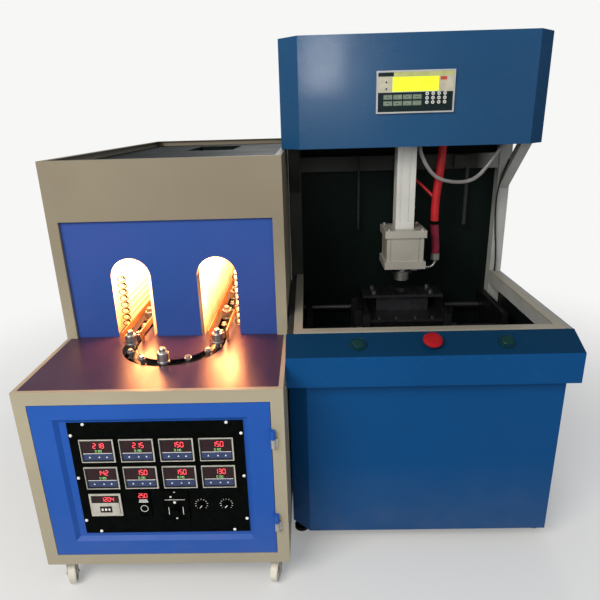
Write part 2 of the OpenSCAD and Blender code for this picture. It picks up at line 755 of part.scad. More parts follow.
module press_frame() color(cream) difference() {
    union() {
        both_sides() {
            for (z = [base_z, bay_rail_z, side_top - press_tube])
                block([frame_half - press_tube, side_y, z], [frame_half, column_back_y, z + press_tube]);
            block([frame_half - press_tube, column_y, base_z], [frame_half, column_back_y, hood_top - 90]);
            block([frame_half - press_tube, side_y, base_z], [frame_half, side_y + press_tube, side_top]);
            block([frame_half - press_tube, head_front - 4, head_z], [frame_half, column_back_y, head_z + press_tube]);
            block([frame_half - past, hood_y + 120, head_z], [hood_w / 2 - sheet, hood_y + 160, head_z + press_tube]);
            block([frame_half - past, column_y, hood_top - 150], [hood_w / 2 - sheet, column_back_y, hood_top - 100]);
            strut();
        }
        for (z = [base_z, console_z + 46])
            block([-flat_left + 4, base_y + sheet, z], [flat_right - 4, side_y + past, z + press_tube]);
        for (x = [-start_off - 60, start_off + 60])
            block([x - 20, console_y + sheet, console_z + 56], [x + 20, base_y + sheet + past, console_z + 86]);
        for (y = [cross_front_y, cross_back_y])
            block([-frame_half, y, bay_rail_z], [frame_half, y + press_tube, bay_rail_z + press_tube]);
        for (y = [station_y - press_tube / 2, column_y])
            block([-frame_half, y, base_z], [frame_half, y + press_tube, base_z + press_tube]);
        block([-frame_half, column_y + 10, beam_z], [frame_half, column_back_y, beam_z + beam_h]);
        block([-frame_half, head_front, head_z], [frame_half, column_back_y, head_z + head_t]);
        bar_z(base_z + press_tube - past, base_cyl_top, 0, station_y, base_cyl_d);
        bar_z(beam_z - 250, beam_z + 60, -174, column_y + 6, 9);
        bar_z(beam_z - 240, beam_z + 10, 290, column_y + 4, 16);
        block([230, column_y - 6, beam_z + 8], [302, column_y + 12, beam_z + 58]);
    }
    translate([-profile_w / 2 - 0.2, station_y - profile_w / 2 - 0.2, head_z - past])
        cube([profile_w + 0.4, profile_w + 0.4, head_t + 2 * past]);
    bar_z(base_cyl_top - base_stroke - 40, base_cyl_top + past, 0, station_y, base_rod_d + 2 * fit);
}

module press_feet() color(dark) for (x = [-1, 1], y = [side_y + 28, column_y + 22]) {
    bar_z(0, 12, x * (frame_half - 28), y, 54);
    bar_z(11, base_z, x * (frame_half - 28), y, 16);
}

// Plan of the base cover's front: a flat with a chamfer at each end
module front_plan(inset) {
    polygon([
        [-skin_half + inset, side_y], [-skin_half + inset, base_y + base_chamfer_y],
        [-flat_left + inset / 2, base_y + inset], [flat_right - inset / 2, base_y + inset],
        [skin_half - inset, base_y + base_chamfer_y], [skin_half - inset, side_y]
    ]);
}

module press_front() color(press_blue) translate([0, 0, base_z]) linear_extrude(console_z - base_z) difference() {
    front_plan(0);
    front_plan(sheet);
    translate([-skin_half - past, side_y - 0.01]) square([2 * skin_half + 2 * past, past]);
}

module press_sides() color(press_blue) both_sides()
    block([frame_half, side_y, base_z], [skin_half, column_back_y, side_top]);

module rear_cover() color(dark) difference() {
    block([-console_w / 2, column_back_y, base_z], [console_w / 2, column_back_y + 22, hood_z - gap]);
    block([-console_w / 2 + cover_t, column_back_y + cover_t, base_z + cover_t],
        [console_w / 2 - cover_t, column_back_y + 22 + past, hood_z - gap - cover_t]);
}

module tray_frame() color(cream) translate([0, 0, side_top]) difference() {
    block([-tray_w / 2, slope_back, 0], [tray_w / 2, column_y - 2, tray_t]);
    block([-tray_w / 2 + tray_rail, slope_back + tray_rail, -past], [tray_w / 2 - tray_rail, column_y, tray_t + past]);
}

// Section of the console, larger by a margin all round
module console_section(inset) {
    polygon([
        [console_y + inset, console_z + inset], [slope_back + past, console_z + inset],
        [slope_back + past, slope_top - inset * 1.1 + past * slope_rise / slope_d], [console_y + inset, slope_z - inset * 0.6]
    ]);
}

// Places its children on the console's slope, with Z along its normal
module on_slope(x) translate([x, console_y + slope_d / 2, slope_z + slope_rise / 2]) rotate([slope_angle, 0, 0]) children();

start_stem_d = 22;
stop_stem_d = 24;
collar_t = 6;

module console() color(press_blue) difference() {
    union() {
        intersection() {
            translate([-console_w / 2, 0, 0]) rotate([90, 0, 90]) linear_extrude(console_w) console_section(0);
            block([-console_w / 2, console_y - past, console_z - past], [console_w / 2, slope_back, tray_z]);
        }
        for (x = [-start_off, start_off]) on_slope(x) cylinder(h = collar_t, d = start_d + 12);
        on_slope(0) cylinder(h = collar_t - 2, d = stop_stem_d + 12);
    }
    translate([-console_w / 2 + sheet, 0, 0]) rotate([90, 0, 90]) linear_extrude(console_w - 2 * sheet) console_section(sheet);
    for (x = [-start_off, start_off]) on_slope(x) {
        translate([0, 0, -8]) cylinder(h = 20, d = start_stem_d + 2 * fit);
        translate([0, 0, 1]) cylinder(h = collar_t, d = start_d + 2 * gap);
    }
    on_slope(0) translate([0, 0, -8]) cylinder(h = 20, d = stop_stem_d + 2 * fit);
    block([-flat_left, base_y - gap, console_z - past], [flat_right, slope_back + past, console_z + 2 * sheet]);
}

module start_button(x) color("green") on_slope(x) {
    translate([0, 0, -6]) cylinder(h = 14, d = start_stem_d);
    translate([0, 0, 1 + start_travel + gap]) rotate_extrude($fn = 64)
        polygon([[0, 0], [start_d / 2, 0], [start_d / 2, 3], [start_d / 2 - 2, 5], [start_d / 2 - 8, 6.5], [0, 7]]);
}

module start_button_left() start_button(-start_off);
module start_button_right() start_button(start_off);

module stop_button() color("red") on_slope(0) {
    translate([0, 0, -6]) cylinder(h = 20, d = stop_stem_d);
    translate([0, 0, collar_t - 2 + stop_travel + gap]) rotate_extrude($fn = 64)
        polygon([[0, 0], [stop_d / 2 - 5, 0], [stop_d / 2, 4], [stop_d / 2, 8], [stop_d / 2 - 4, 13], [stop_d / 2 - 13, 16.5], [0, 18]]);
}

// Plan of the hood, smaller by an inset
module hood_plan(inset) {
    half = hood_w / 2;
    polygon([
        [-half + inset, hood_back - inset], [-half + inset, hood_y + hood_chamfer + inset * 0.42],
        [-half + hood_chamfer + inset * 0.42, hood_y + inset], [half - hood_chamfer - inset * 0.42, hood_y + inset],
        [half - inset, hood_y + hood_chamfer + inset * 0.42], [half - inset, hood_back - inset]
    ]);
}

hmi_w = 277;
hmi_h = 142;
hmi_t = 10;
hmi_x = -6;
hmi_z = hood_z + 188;
hmi_case = 60;

module hood() color(press_blue) difference() {
    translate([0, 0, hood_z]) linear_extrude(hood_h) hood_plan(0);
    translate([0, 0, hood_z + sheet]) linear_extrude(hood_h - 2 * sheet) hood_plan(sheet);
    translate([0, 0, hood_z - past]) linear_extrude(sheet + 2 * past) hood_plan(24);
    translate([hmi_x, hood_y - past, hmi_z - hmi_h / 2 + 8]) translate([8 - hmi_w / 2, 0, 0])
        cube([hmi_w - 16, sheet + 2 * past, hmi_h - 16]);
    block([-skin_half - 3, column_back_y - 60, hood_z - past], [skin_half + 3, column_back_y + gap, hood_z + sheet + past]);
}

screen_w = 165;
screen_h = 50;
key_w = 30;
key_pitch_x = 34.6;
round_pitch = 21;

module operator_panel() color(steel) translate([hmi_x, 0, 0]) difference() {
    union() {
        block([-hmi_w / 2, hood_y - hmi_t, hmi_z - hmi_h / 2], [hmi_w / 2, hood_y, hmi_z + hmi_h / 2]);
        block([-hmi_w / 2 + 9, hood_y - past, hmi_z - hmi_h / 2 + 9], [hmi_w / 2 - 9, hood_y + hmi_case, hmi_z + hmi_h / 2 - 9]);
    }
    block([-hmi_w / 2 + 5, hood_y - hmi_t - past, hmi_z - hmi_h / 2 + 5], [hmi_w / 2 - 5, hood_y - hmi_t + 2, hmi_z + hmi_h / 2 - 5]);
    block([-screen_w / 2, hood_y - hmi_t, hmi_z + 1], [screen_w / 2, hood_y - hmi_t + 4, hmi_z + 1 + screen_h]);
}

module panel_keys() color("olivedrab") translate([hmi_x, 0, 0]) {
    y = hood_y - hmi_t + 2;
    for (i = [0:3], j = [0, 1])
        translate([-hmi_w / 2 + 26 + i * key_pitch_x, y - 1.5, hmi_z - 45 + j * 21]) cube([key_w, 1.5, 15]);
    for (i = [0:3], j = [0:2])
        bar_y(y - 1.5, y, hmi_w / 2 - 97 + i * round_pitch, hmi_z - 36 + j * 14.5, 12);
}

groove = 9;

module stretch_cylinder() color(white) difference() {
    union() {
        translate([-profile_w / 2, station_y - profile_w / 2, seal_top]) cube([profile_w, profile_w, profile_l]);
        translate([-profile_w / 2 - 2, station_y - profile_w / 2 - 2, seal_top + profile_l]) cube([profile_w + 4, profile_w + 4, 32]);
    }
    for (a = [0:90:270], s = [-1, 1]) translate([0, station_y, seal_top + 26]) rotate(a)
        translate([s * 17 - groove / 2, profile_w / 2 - 4, 0]) cube([groove, 4 + past, profile_l - 52]);
    bar_z(seal_top - past, seal_top + profile_l + 10, 0, station_y, rod_d + 2 * fit);
}

rod_tip_z = collar_z + 14;

module stretch_rod() color(steel) translate([0, station_y, rod_tip_z]) {
    translate([0, 0, rod_d / 2]) cylinder(h = rod_stroke + 240, d = rod_d);
    intersection() {
        translate([0, 0, rod_d / 2]) sphere(d = rod_d);
        translate([-rod_d, -rod_d, -past]) cube([2 * rod_d, 2 * rod_d, rod_d / 2 + past]);
    }
}

module sealing_cylinder() color(white) difference() {
    union() {
        for (z = [seal_z, seal_top - 30])
            block([-seal_w / 2, station_y - seal_w / 2, z], [seal_w / 2, station_y + seal_w / 2, z + 30]);
        block([-seal_w / 2 + 9, station_y - seal_w / 2 + 9, seal_z], [seal_w / 2 - 9, station_y + seal_w / 2 - 9, seal_top]);
        block([elbow_x - 28, station_y - 13, flange_z], [elbow_x, station_y + 13, seal_z + past]);
    }
    for (a = [0:90:270], s = [-1, 1]) translate([0, station_y, seal_z + 30]) rotate(a)
        translate([s * (seal_w / 2 - 26) - 4, seal_w / 2 - 13, 0]) cube([8, 5, seal_h - 60]);
    bar_z(flange_z - past, seal_top - 12, 0, station_y, nozzle_d + 2 * fit);
    bar_z(seal_top - 20, seal_top + past, 0, station_y, rod_d + 1);
}

module blow_nozzle() color(steel) difference() {
    union() {
        bar_z(collar_z, collar_z + collar_h, 0, station_y, collar_d);
        bar_z(collar_z + collar_h - 8, seal_top - 12 - nozzle_stroke / 4, 0, station_y, nozzle_d);
    }
    bar_z(collar_z - past, seal_top, 0, station_y, nozzle_bore);
    translate([0, station_y, collar_z - 0.01]) cylinder(h = 6, d1 = nozzle_bore + 16, d2 = nozzle_bore);
}

// Fitting, bent pipe and union nut of the blow air
module blow_elbow() color(steel) translate([0, station_y, port_z + 6]) {
    translate([elbow_x, 0, 0]) rotate([0, 90, 0]) cylinder(h = 34, d = 18, $fn = 6);
    translate([elbow_x + 33, 0, 0]) rotate([0, 90, 0]) cylinder(h = 17, d = elbow_d + 3);
    translate([elbow_x + 49, 0, elbow_r]) rotate([90, 90, 0]) rotate_extrude(angle = 90) translate([elbow_r, 0]) circle(d = elbow_d);
    translate([hose_end_x, 0, elbow_r - 1]) cylinder(h = 9, d = elbow_d + 3);
    translate([hose_end_x, 0, elbow_r + 6]) cylinder(h = nut_h, d = 36, $fn = 24);
}

module clamp_frame() color(dark) {
    both_sides() difference() {
        union() {
            block([plate_in, station_y - platen_half_y, bay_rail_z + press_tube],
                [plate_in + end_plate_t, station_y + platen_half_y, end_plate_top]);
            bar_x(cyl_in, cyl_out, station_y, (platen_z + platen_top) / 2, cyl_d);
        }
        bar_x(cyl_in - past, cyl_out - 2.5, station_y, (platen_z + platen_top) / 2, clamp_rod_d + 2 * fit);
    }
    for (y = [-tie_y, tie_y], z = tie_z) {
        bar_x(-plate_in - 2, plate_in + 2, station_y + y, z, tie_d);
        both_sides() bar_x(plate_in + end_plate_t - past, plate_in + end_plate_t + 12, station_y + y, z, tie_d + 16);
    }
}

// The platen on the right, with its guide bosses, ribs and the cylinder's rod
module platen() difference() {
    mid_z = (platen_z + platen_top) / 2;
    union() {
        block([platen_in, station_y - platen_half_y, platen_z], [platen_out, station_y + platen_half_y, platen_top]);
        for (y = [-tie_y, tie_y], z = tie_z) bar_x(platen_out - past, platen_out + boss_l, station_y + y, z, tie_d + 18);
        bar_x(platen_out, cyl_in + rod_grip, station_y, mid_z, clamp_rod_d);
        for (y = [-84, 84]) translate([platen_out - past, station_y + y - 8, platen_z + 10]) cube([boss_l, 16, platen_top - platen_z - 20]);
    }
    for (y = [-tie_y, tie_y], z = tie_z)
        bar_x(platen_in - past, platen_out + boss_l + past, station_y + y, z, tie_d + 2 * fit);
}

module right_platen() color(dark) platen();
module left_platen() color(dark) mirror([1, 0, 0]) platen();

// Outline of the blown bottle, from its foot to its neck
bottle_rings = 5;
ring_pitch = 34;
bottle_low = cavity_z;
shoulder_z = cavity_z + 210;
neck_z = cavity_z + 284;
bottle_profile = concat(
    [[0, bottle_low - past], [base_r - 2, bottle_low - past], [bottle_r, bottle_low + 12]],
    [for (i = [0:bottle_rings - 1]) let (z = bottle_low + 30 + i * ring_pitch)
        each [[bottle_r, z], [bottle_r - 5, z + 5], [bottle_r - 5, z + 12], [bottle_r, z + 17]]],
    [[bottle_r, shoulder_z], [bottle_r - 12, shoulder_z + 28], [bottle_r - 42, shoulder_z + 58], [neck_r, neck_z],
        [neck_r, neck_top_z + past], [0, neck_top_z + past]]
);

// The mould half on the right, with its share of the bottle and of the neck plate
module mould_half() difference() {
    union() {
        block([parting, station_y - mould_d / 2, mould_top_z - mould_h], [platen_in, station_y + mould_d / 2, mould_top_z]);
        block([parting, station_y - mould_plate_d / 2, mould_top_z - mould_plate_t],
            [platen_in, station_y + mould_plate_d / 2, mould_top_z]);
        block([parting, station_y - 45, mould_top_z - past], [platen_in - 40, station_y + 45, neck_top_z]);
        block([parting, station_y - neck_plate_w / 2, neck_top_z - neck_plate_t],
            [neck_plate_l, station_y + neck_plate_w / 2, neck_top_z]);
    }
    translate([0, station_y, 0]) rotate_extrude($fn = 96) polygon(bottle_profile);
    for (z = [mould_top_z - 60, mould_top_z - 220])
        bar_y(station_y - mould_d / 2 - past, station_y - mould_d / 2 + 18, mould_t - 16, z, 14);
}

module right_mould() color("#9a9ea3") mould_half();
module left_mould() color("#9a9ea3") mirror([1, 0, 0]) mould_half();

module base_mould() color("#9a9ea3") {
    block([-base_r, station_y - base_r, cavity_z - 40], [base_r, station_y + base_r, cavity_z - gap]);
    bar_z(base_cyl_top - base_stroke / 2, cavity_z - 39, 0, station_y, base_rod_d);
}

// Free hoses and the cable, as tubes swept along points chosen by hand
hose_d = 34;
air_d = 15;
cable_d = 7;
hose_route = [
    [141, 815, 953], [141, 815, 972], [139, 815, 1000], [135, 815, 1040], [131, 815, 1085],
    [130, 815, 1130], [131, 815, 1180], [135, 815, 1230], [140, 815, 1280], [144, 815, 1330],
    [146, 815, 1375], [146, 815, 1405], [146, 815, 1424]
];
air_route = [
    [40, 740, 1424], [41, 740, 1401], [45, 740, 1374], [58, 740, 1344], [76, 740, 1313], [100, 740, 1286],
    [128, 740, 1269], [164, 740, 1259], [204, 740, 1256], [240, 740, 1261], [270, 740, 1277],
    [294, 740, 1302], [313, 740, 1328], [330, 740, 1353], [346, 740, 1375], [361, 740, 1398],
    [373, 740, 1420]
];
cable_route = [
    [423, 838, 1330], [423, 846, 1318], [422, 860, 1300], [420, 880, 1270], [417, 900, 1232],
    [416, 914, 1190], [417, 924, 1150], [420, 930, 1110], [424, 933, 1060], [429, 934, 1010],
    [435, 934, 960], [439, 934, 915], [441, 933, 872], [441, 933, 834]
];

function tangent(path, i) = let (n = len(path) - 1, d = path[min(i + 1, n)] - path[max(i - 1, 0)]) d / norm(d);

// A tube swept along a route, with one ring at each point
module swept_tube(path, d, sides) {
    n = len(path);
    across = [0, 1, 0];
    rings = [for (i = [0:n - 1])
        let (t = tangent(path, i), u = cross(t, across) / norm(cross(t, across)), v = cross(t, u))
        [for (k = [0:sides - 1]) path[i] + d / 2 * (cos(k * 360 / sides) * u + sin(k * 360 / sides) * v)]];
    points = [for (ring = rings) each ring];
    walls = [for (i = [0:n - 2], k = [0:sides - 1]) let (m = (k + 1) % sides)
        each [[i * sides + k, i * sides + m, (i + 1) * sides + m], [i * sides + k, (i + 1) * sides + m, (i + 1) * sides + k]]];
    ends = [[for (k = [0:sides - 1]) sides - 1 - k], [for (k = [0:sides - 1]) (n - 1) * sides + k]];
    polyhedron(points, concat(walls, ends));
}

module blow_hose() color("red") swept_tube(hose_route, hose_d, 12);
module air_hose() color("lightgray") swept_tube(air_route, air_d, 8);
module signal_cable() color("black") swept_tube(cable_route, cable_d, 8);

placed() {
    heater_frame();
    heater_table();
    heater_box();
    arched_panel();
    oven_deck();
    exhaust_fan();
    heater_skins();
    control_door();
    hinge_halves();
    control_plate();
    display_modules();
    motor_drive();
    speed_controller();
    speed_knob();
    left_timer_knob();
    right_timer_knob();
    oven_tunnels();
    quartz_lamps();
    shield_rails();
    conveyor_bed();
    conveyor_chain();
    mandrels();
    front_wheel();
    drive_wheel();
    gear_motor();
    for (i = [0:3]) {
        caster_fork(i);
        caster_wheel(i);
    }
    at_press() {
        press_frame();
        press_feet();
        press_front();
        press_sides();
        rear_cover();
        tray_frame();
        console();
        start_button_left();
        start_button_right();
        stop_button();
        hood();
        operator_panel();
        panel_keys();
        stretch_cylinder();
        stretch_rod();
        sealing_cylinder();
        blow_nozzle();
        blow_elbow();
        clamp_frame();
        left_platen();
        right_platen();
        left_mould();
        right_mould();
        base_mould();
        blow_hose();
        air_hose();
        signal_cable();
    }
}
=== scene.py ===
# %% [markdown]
# A bottle blowing set in two cabinets: an oven that warms plastic blanks on a chain, and a press that
# closes a mould and blows the bottle. The solids come from the CAD part. This lesson dresses them: paint,
# metal, lamps, dials, hoses and small fasteners, and then it lights the set like a studio shot.

# %% Load the CAD part as a fixed frame
import math
import bmesh
import bpy
from mathutils import Matrix, Vector


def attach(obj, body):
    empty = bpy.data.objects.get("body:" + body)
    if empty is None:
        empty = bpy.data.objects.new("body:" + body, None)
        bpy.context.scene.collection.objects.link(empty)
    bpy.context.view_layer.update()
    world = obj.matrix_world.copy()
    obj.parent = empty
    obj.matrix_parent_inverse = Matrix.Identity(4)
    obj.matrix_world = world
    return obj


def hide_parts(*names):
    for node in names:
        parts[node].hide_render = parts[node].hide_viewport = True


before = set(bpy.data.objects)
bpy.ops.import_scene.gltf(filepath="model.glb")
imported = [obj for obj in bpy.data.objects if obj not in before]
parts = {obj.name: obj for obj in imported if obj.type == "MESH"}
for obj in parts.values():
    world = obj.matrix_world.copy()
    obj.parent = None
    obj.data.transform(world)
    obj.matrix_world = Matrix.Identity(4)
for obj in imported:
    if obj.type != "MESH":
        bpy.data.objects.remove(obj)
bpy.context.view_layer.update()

# %% [markdown]
# The drawing of the machine counts millimetres from the heater's left front corner and from the press's
# middle plane. Two small helpers turn those numbers into metres in the frame, so that every later cell can
# use the numbers of the drawing. The origin of the frame is the middle of the whole set.

# %% Drawing coordinates
SET_MIDDLE = (893.5, 961.75)
PRESS_MIDDLE_X = 1295
STATION_Y = 815


def heater(x, y, z):
    return Vector((x - SET_MIDDLE[0], y - SET_MIDDLE[1], z)) / 1000


def press(x, y, z):
    return heater(x + PRESS_MIDDLE_X, y, z)


def facing(axis):
    return Vector(axis).to_track_quat("Z", "Y").to_matrix().to_4x4()


def add_object(name, data):
    made = bpy.data.objects.new(name, data)
    bpy.context.scene.collection.objects.link(made)
    return made


print("press middle plane at x =", round(press(0, 0, 0).x, 4))

# %% [markdown]
# The camera stands where the photographer stood: at eye level, about 1.4 m in front of the heater,
# looking down by 19 degrees. Its three axes are written out as a matrix, because a roll of a degree and a
# half is easier to read there than in a set of Euler angles.

# %% Camera
tilt, roll, yaw = (math.radians(a) for a in (19.036, -1.573, -1.157))
vertical = Vector((0, 0, 1))
right = Vector((math.cos(yaw), -math.sin(yaw), 0))
level = Vector((math.sin(yaw), math.cos(yaw), 0))
ahead = math.cos(tilt) * level - math.sin(tilt) * vertical
up = math.sin(tilt) * level + math.cos(tilt) * vertical
camera_x = math.cos(roll) * right + math.sin(roll) * up
camera_y = -math.sin(roll) * right + math.cos(roll) * up

camera_data = bpy.data.cameras.new("photo_camera")
camera_data.sensor_width = 36
camera_data.lens = 31.78
camera = add_object("photo_camera", camera_data)
turned = Matrix((camera_x, camera_y, -ahead)).transposed().to_4x4()
camera.matrix_world = Matrix.Translation(heater(900.1, -1386.1, 1513)) @ turned
bpy.context.scene.camera = camera
print("camera at", [round(v, 3) for v in camera.location])

# %% [markdown]
# Each finish is a small node tree. The first helper fills a node's inputs: a socket is linked, and a plain
# value is typed in. Most of the others add one kind of node each. The last two lay a film over a finished
# paint and give a finish to CAD nodes. Patterns read Object coordinates: every piece sits at the origin, so
# a pattern keeps its real size and does not slide.

# %% Helpers for materials
def wire(owner, node, values):
    for key, value in values.items():
        if isinstance(value, bpy.types.NodeSocket):
            owner.node_tree.links.new(value, node.inputs[key])
        else:
            node.inputs[key].default_value = value
    return node


def add_node(owner, kind, values, **settings):
    node = owner.node_tree.nodes.new("ShaderNode" + kind)
    for key, value in settings.items():
        setattr(node, key, value)
    return wire(owner, node, values)


def new_material(name, colour, roughness, metallic=0.0):
    material = bpy.data.materials.new(name)
    material.use_nodes = True
    shader = material.node_tree.nodes["Principled BSDF"]
    wire(material, shader, {"Base Color": (*colour, 1), "Roughness": roughness, "Metallic": metallic})
    return material, shader


def object_place(material):
    return add_node(material, "TexCoord", {}).outputs["Object"]


def object_axis(material, axis):
    return add_node(material, "SeparateXYZ", {0: object_place(material)}).outputs[axis]


def object_noise(material, scale, detail=3.0, stretch=(1, 1, 1)):
    mapping = add_node(material, "Mapping", {"Vector": object_place(material), "Scale": stretch})
    values = {"Vector": mapping.outputs["Vector"], "Scale": scale, "Detail": detail}
    return add_node(material, "TexNoise", values).outputs["Fac"]


def calc(material, operation, *values):
    return add_node(material, "Math", dict(enumerate(values)), operation=operation).outputs[0]


def fade(material, value, start, end, low=0.0, high=1.0, curve="LINEAR"):
    values = {"Value": value, "From Min": start, "From Max": end, "To Min": low, "To Max": high}
    return add_node(material, "MapRange", values, interpolation_type=curve).outputs[0]


def ramp(material, fac, low, high, first=0.35, last=0.65):
    node = add_node(material, "ValToRGB", {"Fac": fac})
    for element, place, value in zip(node.color_ramp.elements, (first, last), (low, high)):
        element.position = place
        element.color = (*value, 1) if isinstance(value, tuple) else (value, value, value, 1)
    return node.outputs["Color"]


def mixed(material, fac, a, b, blend="MIX"):
    a, b = (v if isinstance(v, bpy.types.NodeSocket) else (*v, 1) for v in (a, b))
    node = add_node(material, "Mix", {}, data_type="RGBA", blend_type=blend)
    return wire(material, node, {"Factor": fac, 6: a, 7: b}).outputs[2]


def bumpy(material, shader, height, strength, distance=0.001):
    bump = add_node(material, "Bump", {"Strength": strength, "Distance": distance, "Height": height})
    wire(material, shader, {"Normal": bump.outputs["Normal"]})


def overpaint(material, fac, film, blend="MIX"):
    shader = material.node_tree.nodes["Principled BSDF"]
    below = shader.inputs["Base Color"].links[0].from_socket
    wire(material, shader, {"Base Color": mixed(material, fac, below, film, blend)})


def dress(finish, *names):
    for name in names:
        parts[name].data.materials.clear()
        parts[name].data.materials.append(finish)


# %% [markdown]
# Sprayed sheet metal is never one flat colour. The film is a little thicker in some places, dust dulls it
# near the floor and lies on it in specks, and the surface has the fine ripple that painters call orange
# peel. The helper below mixes these over a base colour.

# %% Sprayed paint
DUST = (0.30, 0.28, 0.25)
DUST_TOP = 0.35


def sprayed_paint(name, colour, shade, roughness=0.34, coat=0.3, shine=0.18, peel=0.06):
    material, shader = new_material(name, colour, roughness)
    patches = ramp(material, object_noise(material, 2.2, 4), shade, colour, 0.38, 0.62)
    near_floor = fade(material, object_axis(material, "Z"), 0.05, DUST_TOP, 0.16, 0.0)
    cloud = calc(material, "MULTIPLY", near_floor, object_noise(material, 9, 5))
    specks = ramp(material, object_noise(material, 90, 2), 0.0, 1.0, 0.66, 0.72)
    thin = calc(material, "MULTIPLY", specks, 0.035)
    wire(material, shader, {
        "Base Color": mixed(material, thin, mixed(material, cloud, patches, DUST), DUST),
        "Roughness": ramp(material, object_noise(material, 5, 4), roughness - 0.03, roughness + 0.04),
        "Specular IOR Level": shine, "Coat Weight": coat, "Coat Roughness": 0.12})
    bumpy(material, shader, object_noise(material, 420, 2), peel, 0.0006)
    return material


cream_paint = sprayed_paint("cream_enamel", (0.39, 0.345, 0.245), (0.36, 0.315, 0.225), 0.42, 0.08)
cobalt_paint = sprayed_paint(
    "cobalt_enamel", (0.017, 0.092, 0.400), (0.015, 0.084, 0.370), 0.40, 0.03, 0.10)
oven_paint = sprayed_paint(
    "oven_front_enamel", (0.036, 0.078, 0.300), (0.026, 0.078, 0.300), 0.38, 0.05, 0.12)
press_paint = sprayed_paint(
    "steel_blue_enamel", (0.0025, 0.064, 0.205), (0.0020, 0.059, 0.190), 0.42, 0.02, 0.08)
hood_paint = sprayed_paint(
    "hood_enamel", (0.008, 0.066, 0.165), (0.006, 0.058, 0.148), 0.27, 0.20, 0.35, 0.30)
green_black_paint = sprayed_paint(
    "green_black_enamel", (0.004, 0.009, 0.007), (0.003, 0.006, 0.005), 0.5, 0.0, 0.06)
frame_paint = sprayed_paint("frame_grey", (0.060, 0.060, 0.054), (0.034, 0.034, 0.030), 0.5, 0.0, 0.08)
tray_paint = sprayed_paint("tray_cream", (0.33, 0.30, 0.235), (0.26, 0.24, 0.185), 0.42, 0.05)
print("nodes in one sprayed paint:", len(cream_paint.node_tree.nodes))

# %% [markdown]
# The cream enamel is paler near the floor and darker near the oven: a grey brown film that gets stronger
# with height is multiplied into the paint.

# %% Cream darker towards the top
darker_above = fade(cream_paint, object_axis(cream_paint, "Z"), 0.70, 1.15, curve="SMOOTHSTEP")
overpaint(cream_paint, darker_above, (0.63, 0.61, 0.60), "MULTIPLY")

# %% [markdown]
# The tubes of the press frame are grey. The left ones get a dark grey as painted shade, the right ones keep
# a pale grey, so their paint runs from dark to pale along the width of the press.

# %% Painted shade on the left of the press frame
across = fade(frame_paint, object_axis(frame_paint, "X"), press(330, 0, 0).x, press(420, 0, 0).x)
# painted shade: dark grey for the left tubes, which stand in shadow
shaded_grey = ramp(frame_paint, object_noise(frame_paint, 7, 4), (0.026, 0.026, 0.023), (0.040, 0.040, 0.035))
pale_grey = ramp(frame_paint, object_noise(frame_paint, 8, 4), (0.30, 0.30, 0.28), (0.38, 0.38, 0.355))
wire(frame_paint, frame_paint.node_tree.nodes["Principled BSDF"],
     {"Base Color": mixed(frame_paint, across, shaded_grey, pale_grey)})

# %% [markdown]
# The worktable mirrors the glow of the oven, drawn soft. It has a thin satin coat over a dark violet, with
# faint wipe marks in the roughness, and its reflection is tinted warm.

# %% Worktable enamel
table_paint, table_shader = new_material("table_enamel", (0.050, 0.026, 0.056), 0.30)
table_patches = object_noise(table_paint, 3, 4)
wipe_marks = object_noise(table_paint, 14, 5, (1, 0.25, 1))
wire(table_paint, table_shader, {
    "Base Color": ramp(table_paint, table_patches, (0.042, 0.022, 0.048), (0.060, 0.030, 0.066)),
    "Roughness": ramp(table_paint, wipe_marks, 0.28, 0.40),
    "Coat Weight": 0.08, "Coat Roughness": 0.26,
    "Specular IOR Level": 0.42, "Specular Tint": (1.0, 0.62, 0.50, 1)})
bumpy(table_paint, table_shader, object_noise(table_paint, 160, 2), 0.05)


# %% [markdown]
# Bare metal shows fine lines from rolling or grinding. Noise that is stretched twenty to fifty times along
# one or two axes gives such lines, in the bump and in the roughness.

# %% Bare metals
def bare_metal(name, colour, roughness, stretch=(1, 1, 0.02), scale=260, strength=0.10):
    material, shader = new_material(name, colour, roughness, 1.0)
    lines = object_noise(material, scale, 2, stretch)
    dull = tuple(v * 0.72 for v in colour)
    wire(material, shader, {
        "Base Color": ramp(material, object_noise(material, 16, 4), dull, colour, 0.32, 0.58),
        "Roughness": ramp(material, lines, roughness - 0.07, roughness + 0.10)})
    bumpy(material, shader, lines, strength, 0.0004)
    return material


zinc = bare_metal("zinc_plate", (0.56, 0.55, 0.52), 0.34)
turned_steel = bare_metal("turned_steel", (0.50, 0.49, 0.46), 0.40, (0.02, 0.02, 1))
dark_steel = bare_metal("oiled_steel", (0.055, 0.055, 0.06), 0.45, (1, 0.02, 1))
mould_metal = bare_metal("mould_aluminium", (0.075, 0.075, 0.08), 0.46, (1, 0.03, 1))
oxide_steel = bare_metal("oxide_steel", (0.16, 0.16, 0.155), 0.42)
chrome = bare_metal("hard_chrome", (0.75, 0.75, 0.76), 0.12, (0.05, 0.05, 1), 200, 0.03)


def anodised(name, low, high):
    material, shader = new_material(name, high, 0.42, 0.35)
    bumpy(material, shader, object_noise(material, 300, 2, (1, 1, 0.03)), 0.10, 0.0004)
    wire(material, shader, {"Base Color": ramp(material, object_noise(material, 6, 4), low, high)})
    return material


silver_anodised = anodised("silver_anodised", (0.41, 0.385, 0.325), (0.47, 0.445, 0.38))
panel_frame = anodised("panel_frame_silver", (0.44, 0.44, 0.41), (0.52, 0.52, 0.49))
pale_anodised = anodised("pale_anodised", (0.62, 0.61, 0.56), (0.71, 0.70, 0.65))


# %% [markdown]
# Moulded plastic has a satin skin with a fine grain. The same helper makes the black cases, the red and
# green button heads and the wheels, each with its own roughness.

# %% Plastics and rubber
def moulded_plastic(name, colour, roughness=0.45, grain=0.10, shine=0.22):
    material, shader = new_material(name, colour, roughness)
    pale = tuple(min(1.0, v * 1.25 + 0.001) for v in colour)
    wire(material, shader, {"Specular IOR Level": shine,
                            "Base Color": ramp(material, object_noise(material, 40, 4), colour, pale)})
    bumpy(material, shader, object_noise(material, 900, 2), grain, 0.0003)
    return material


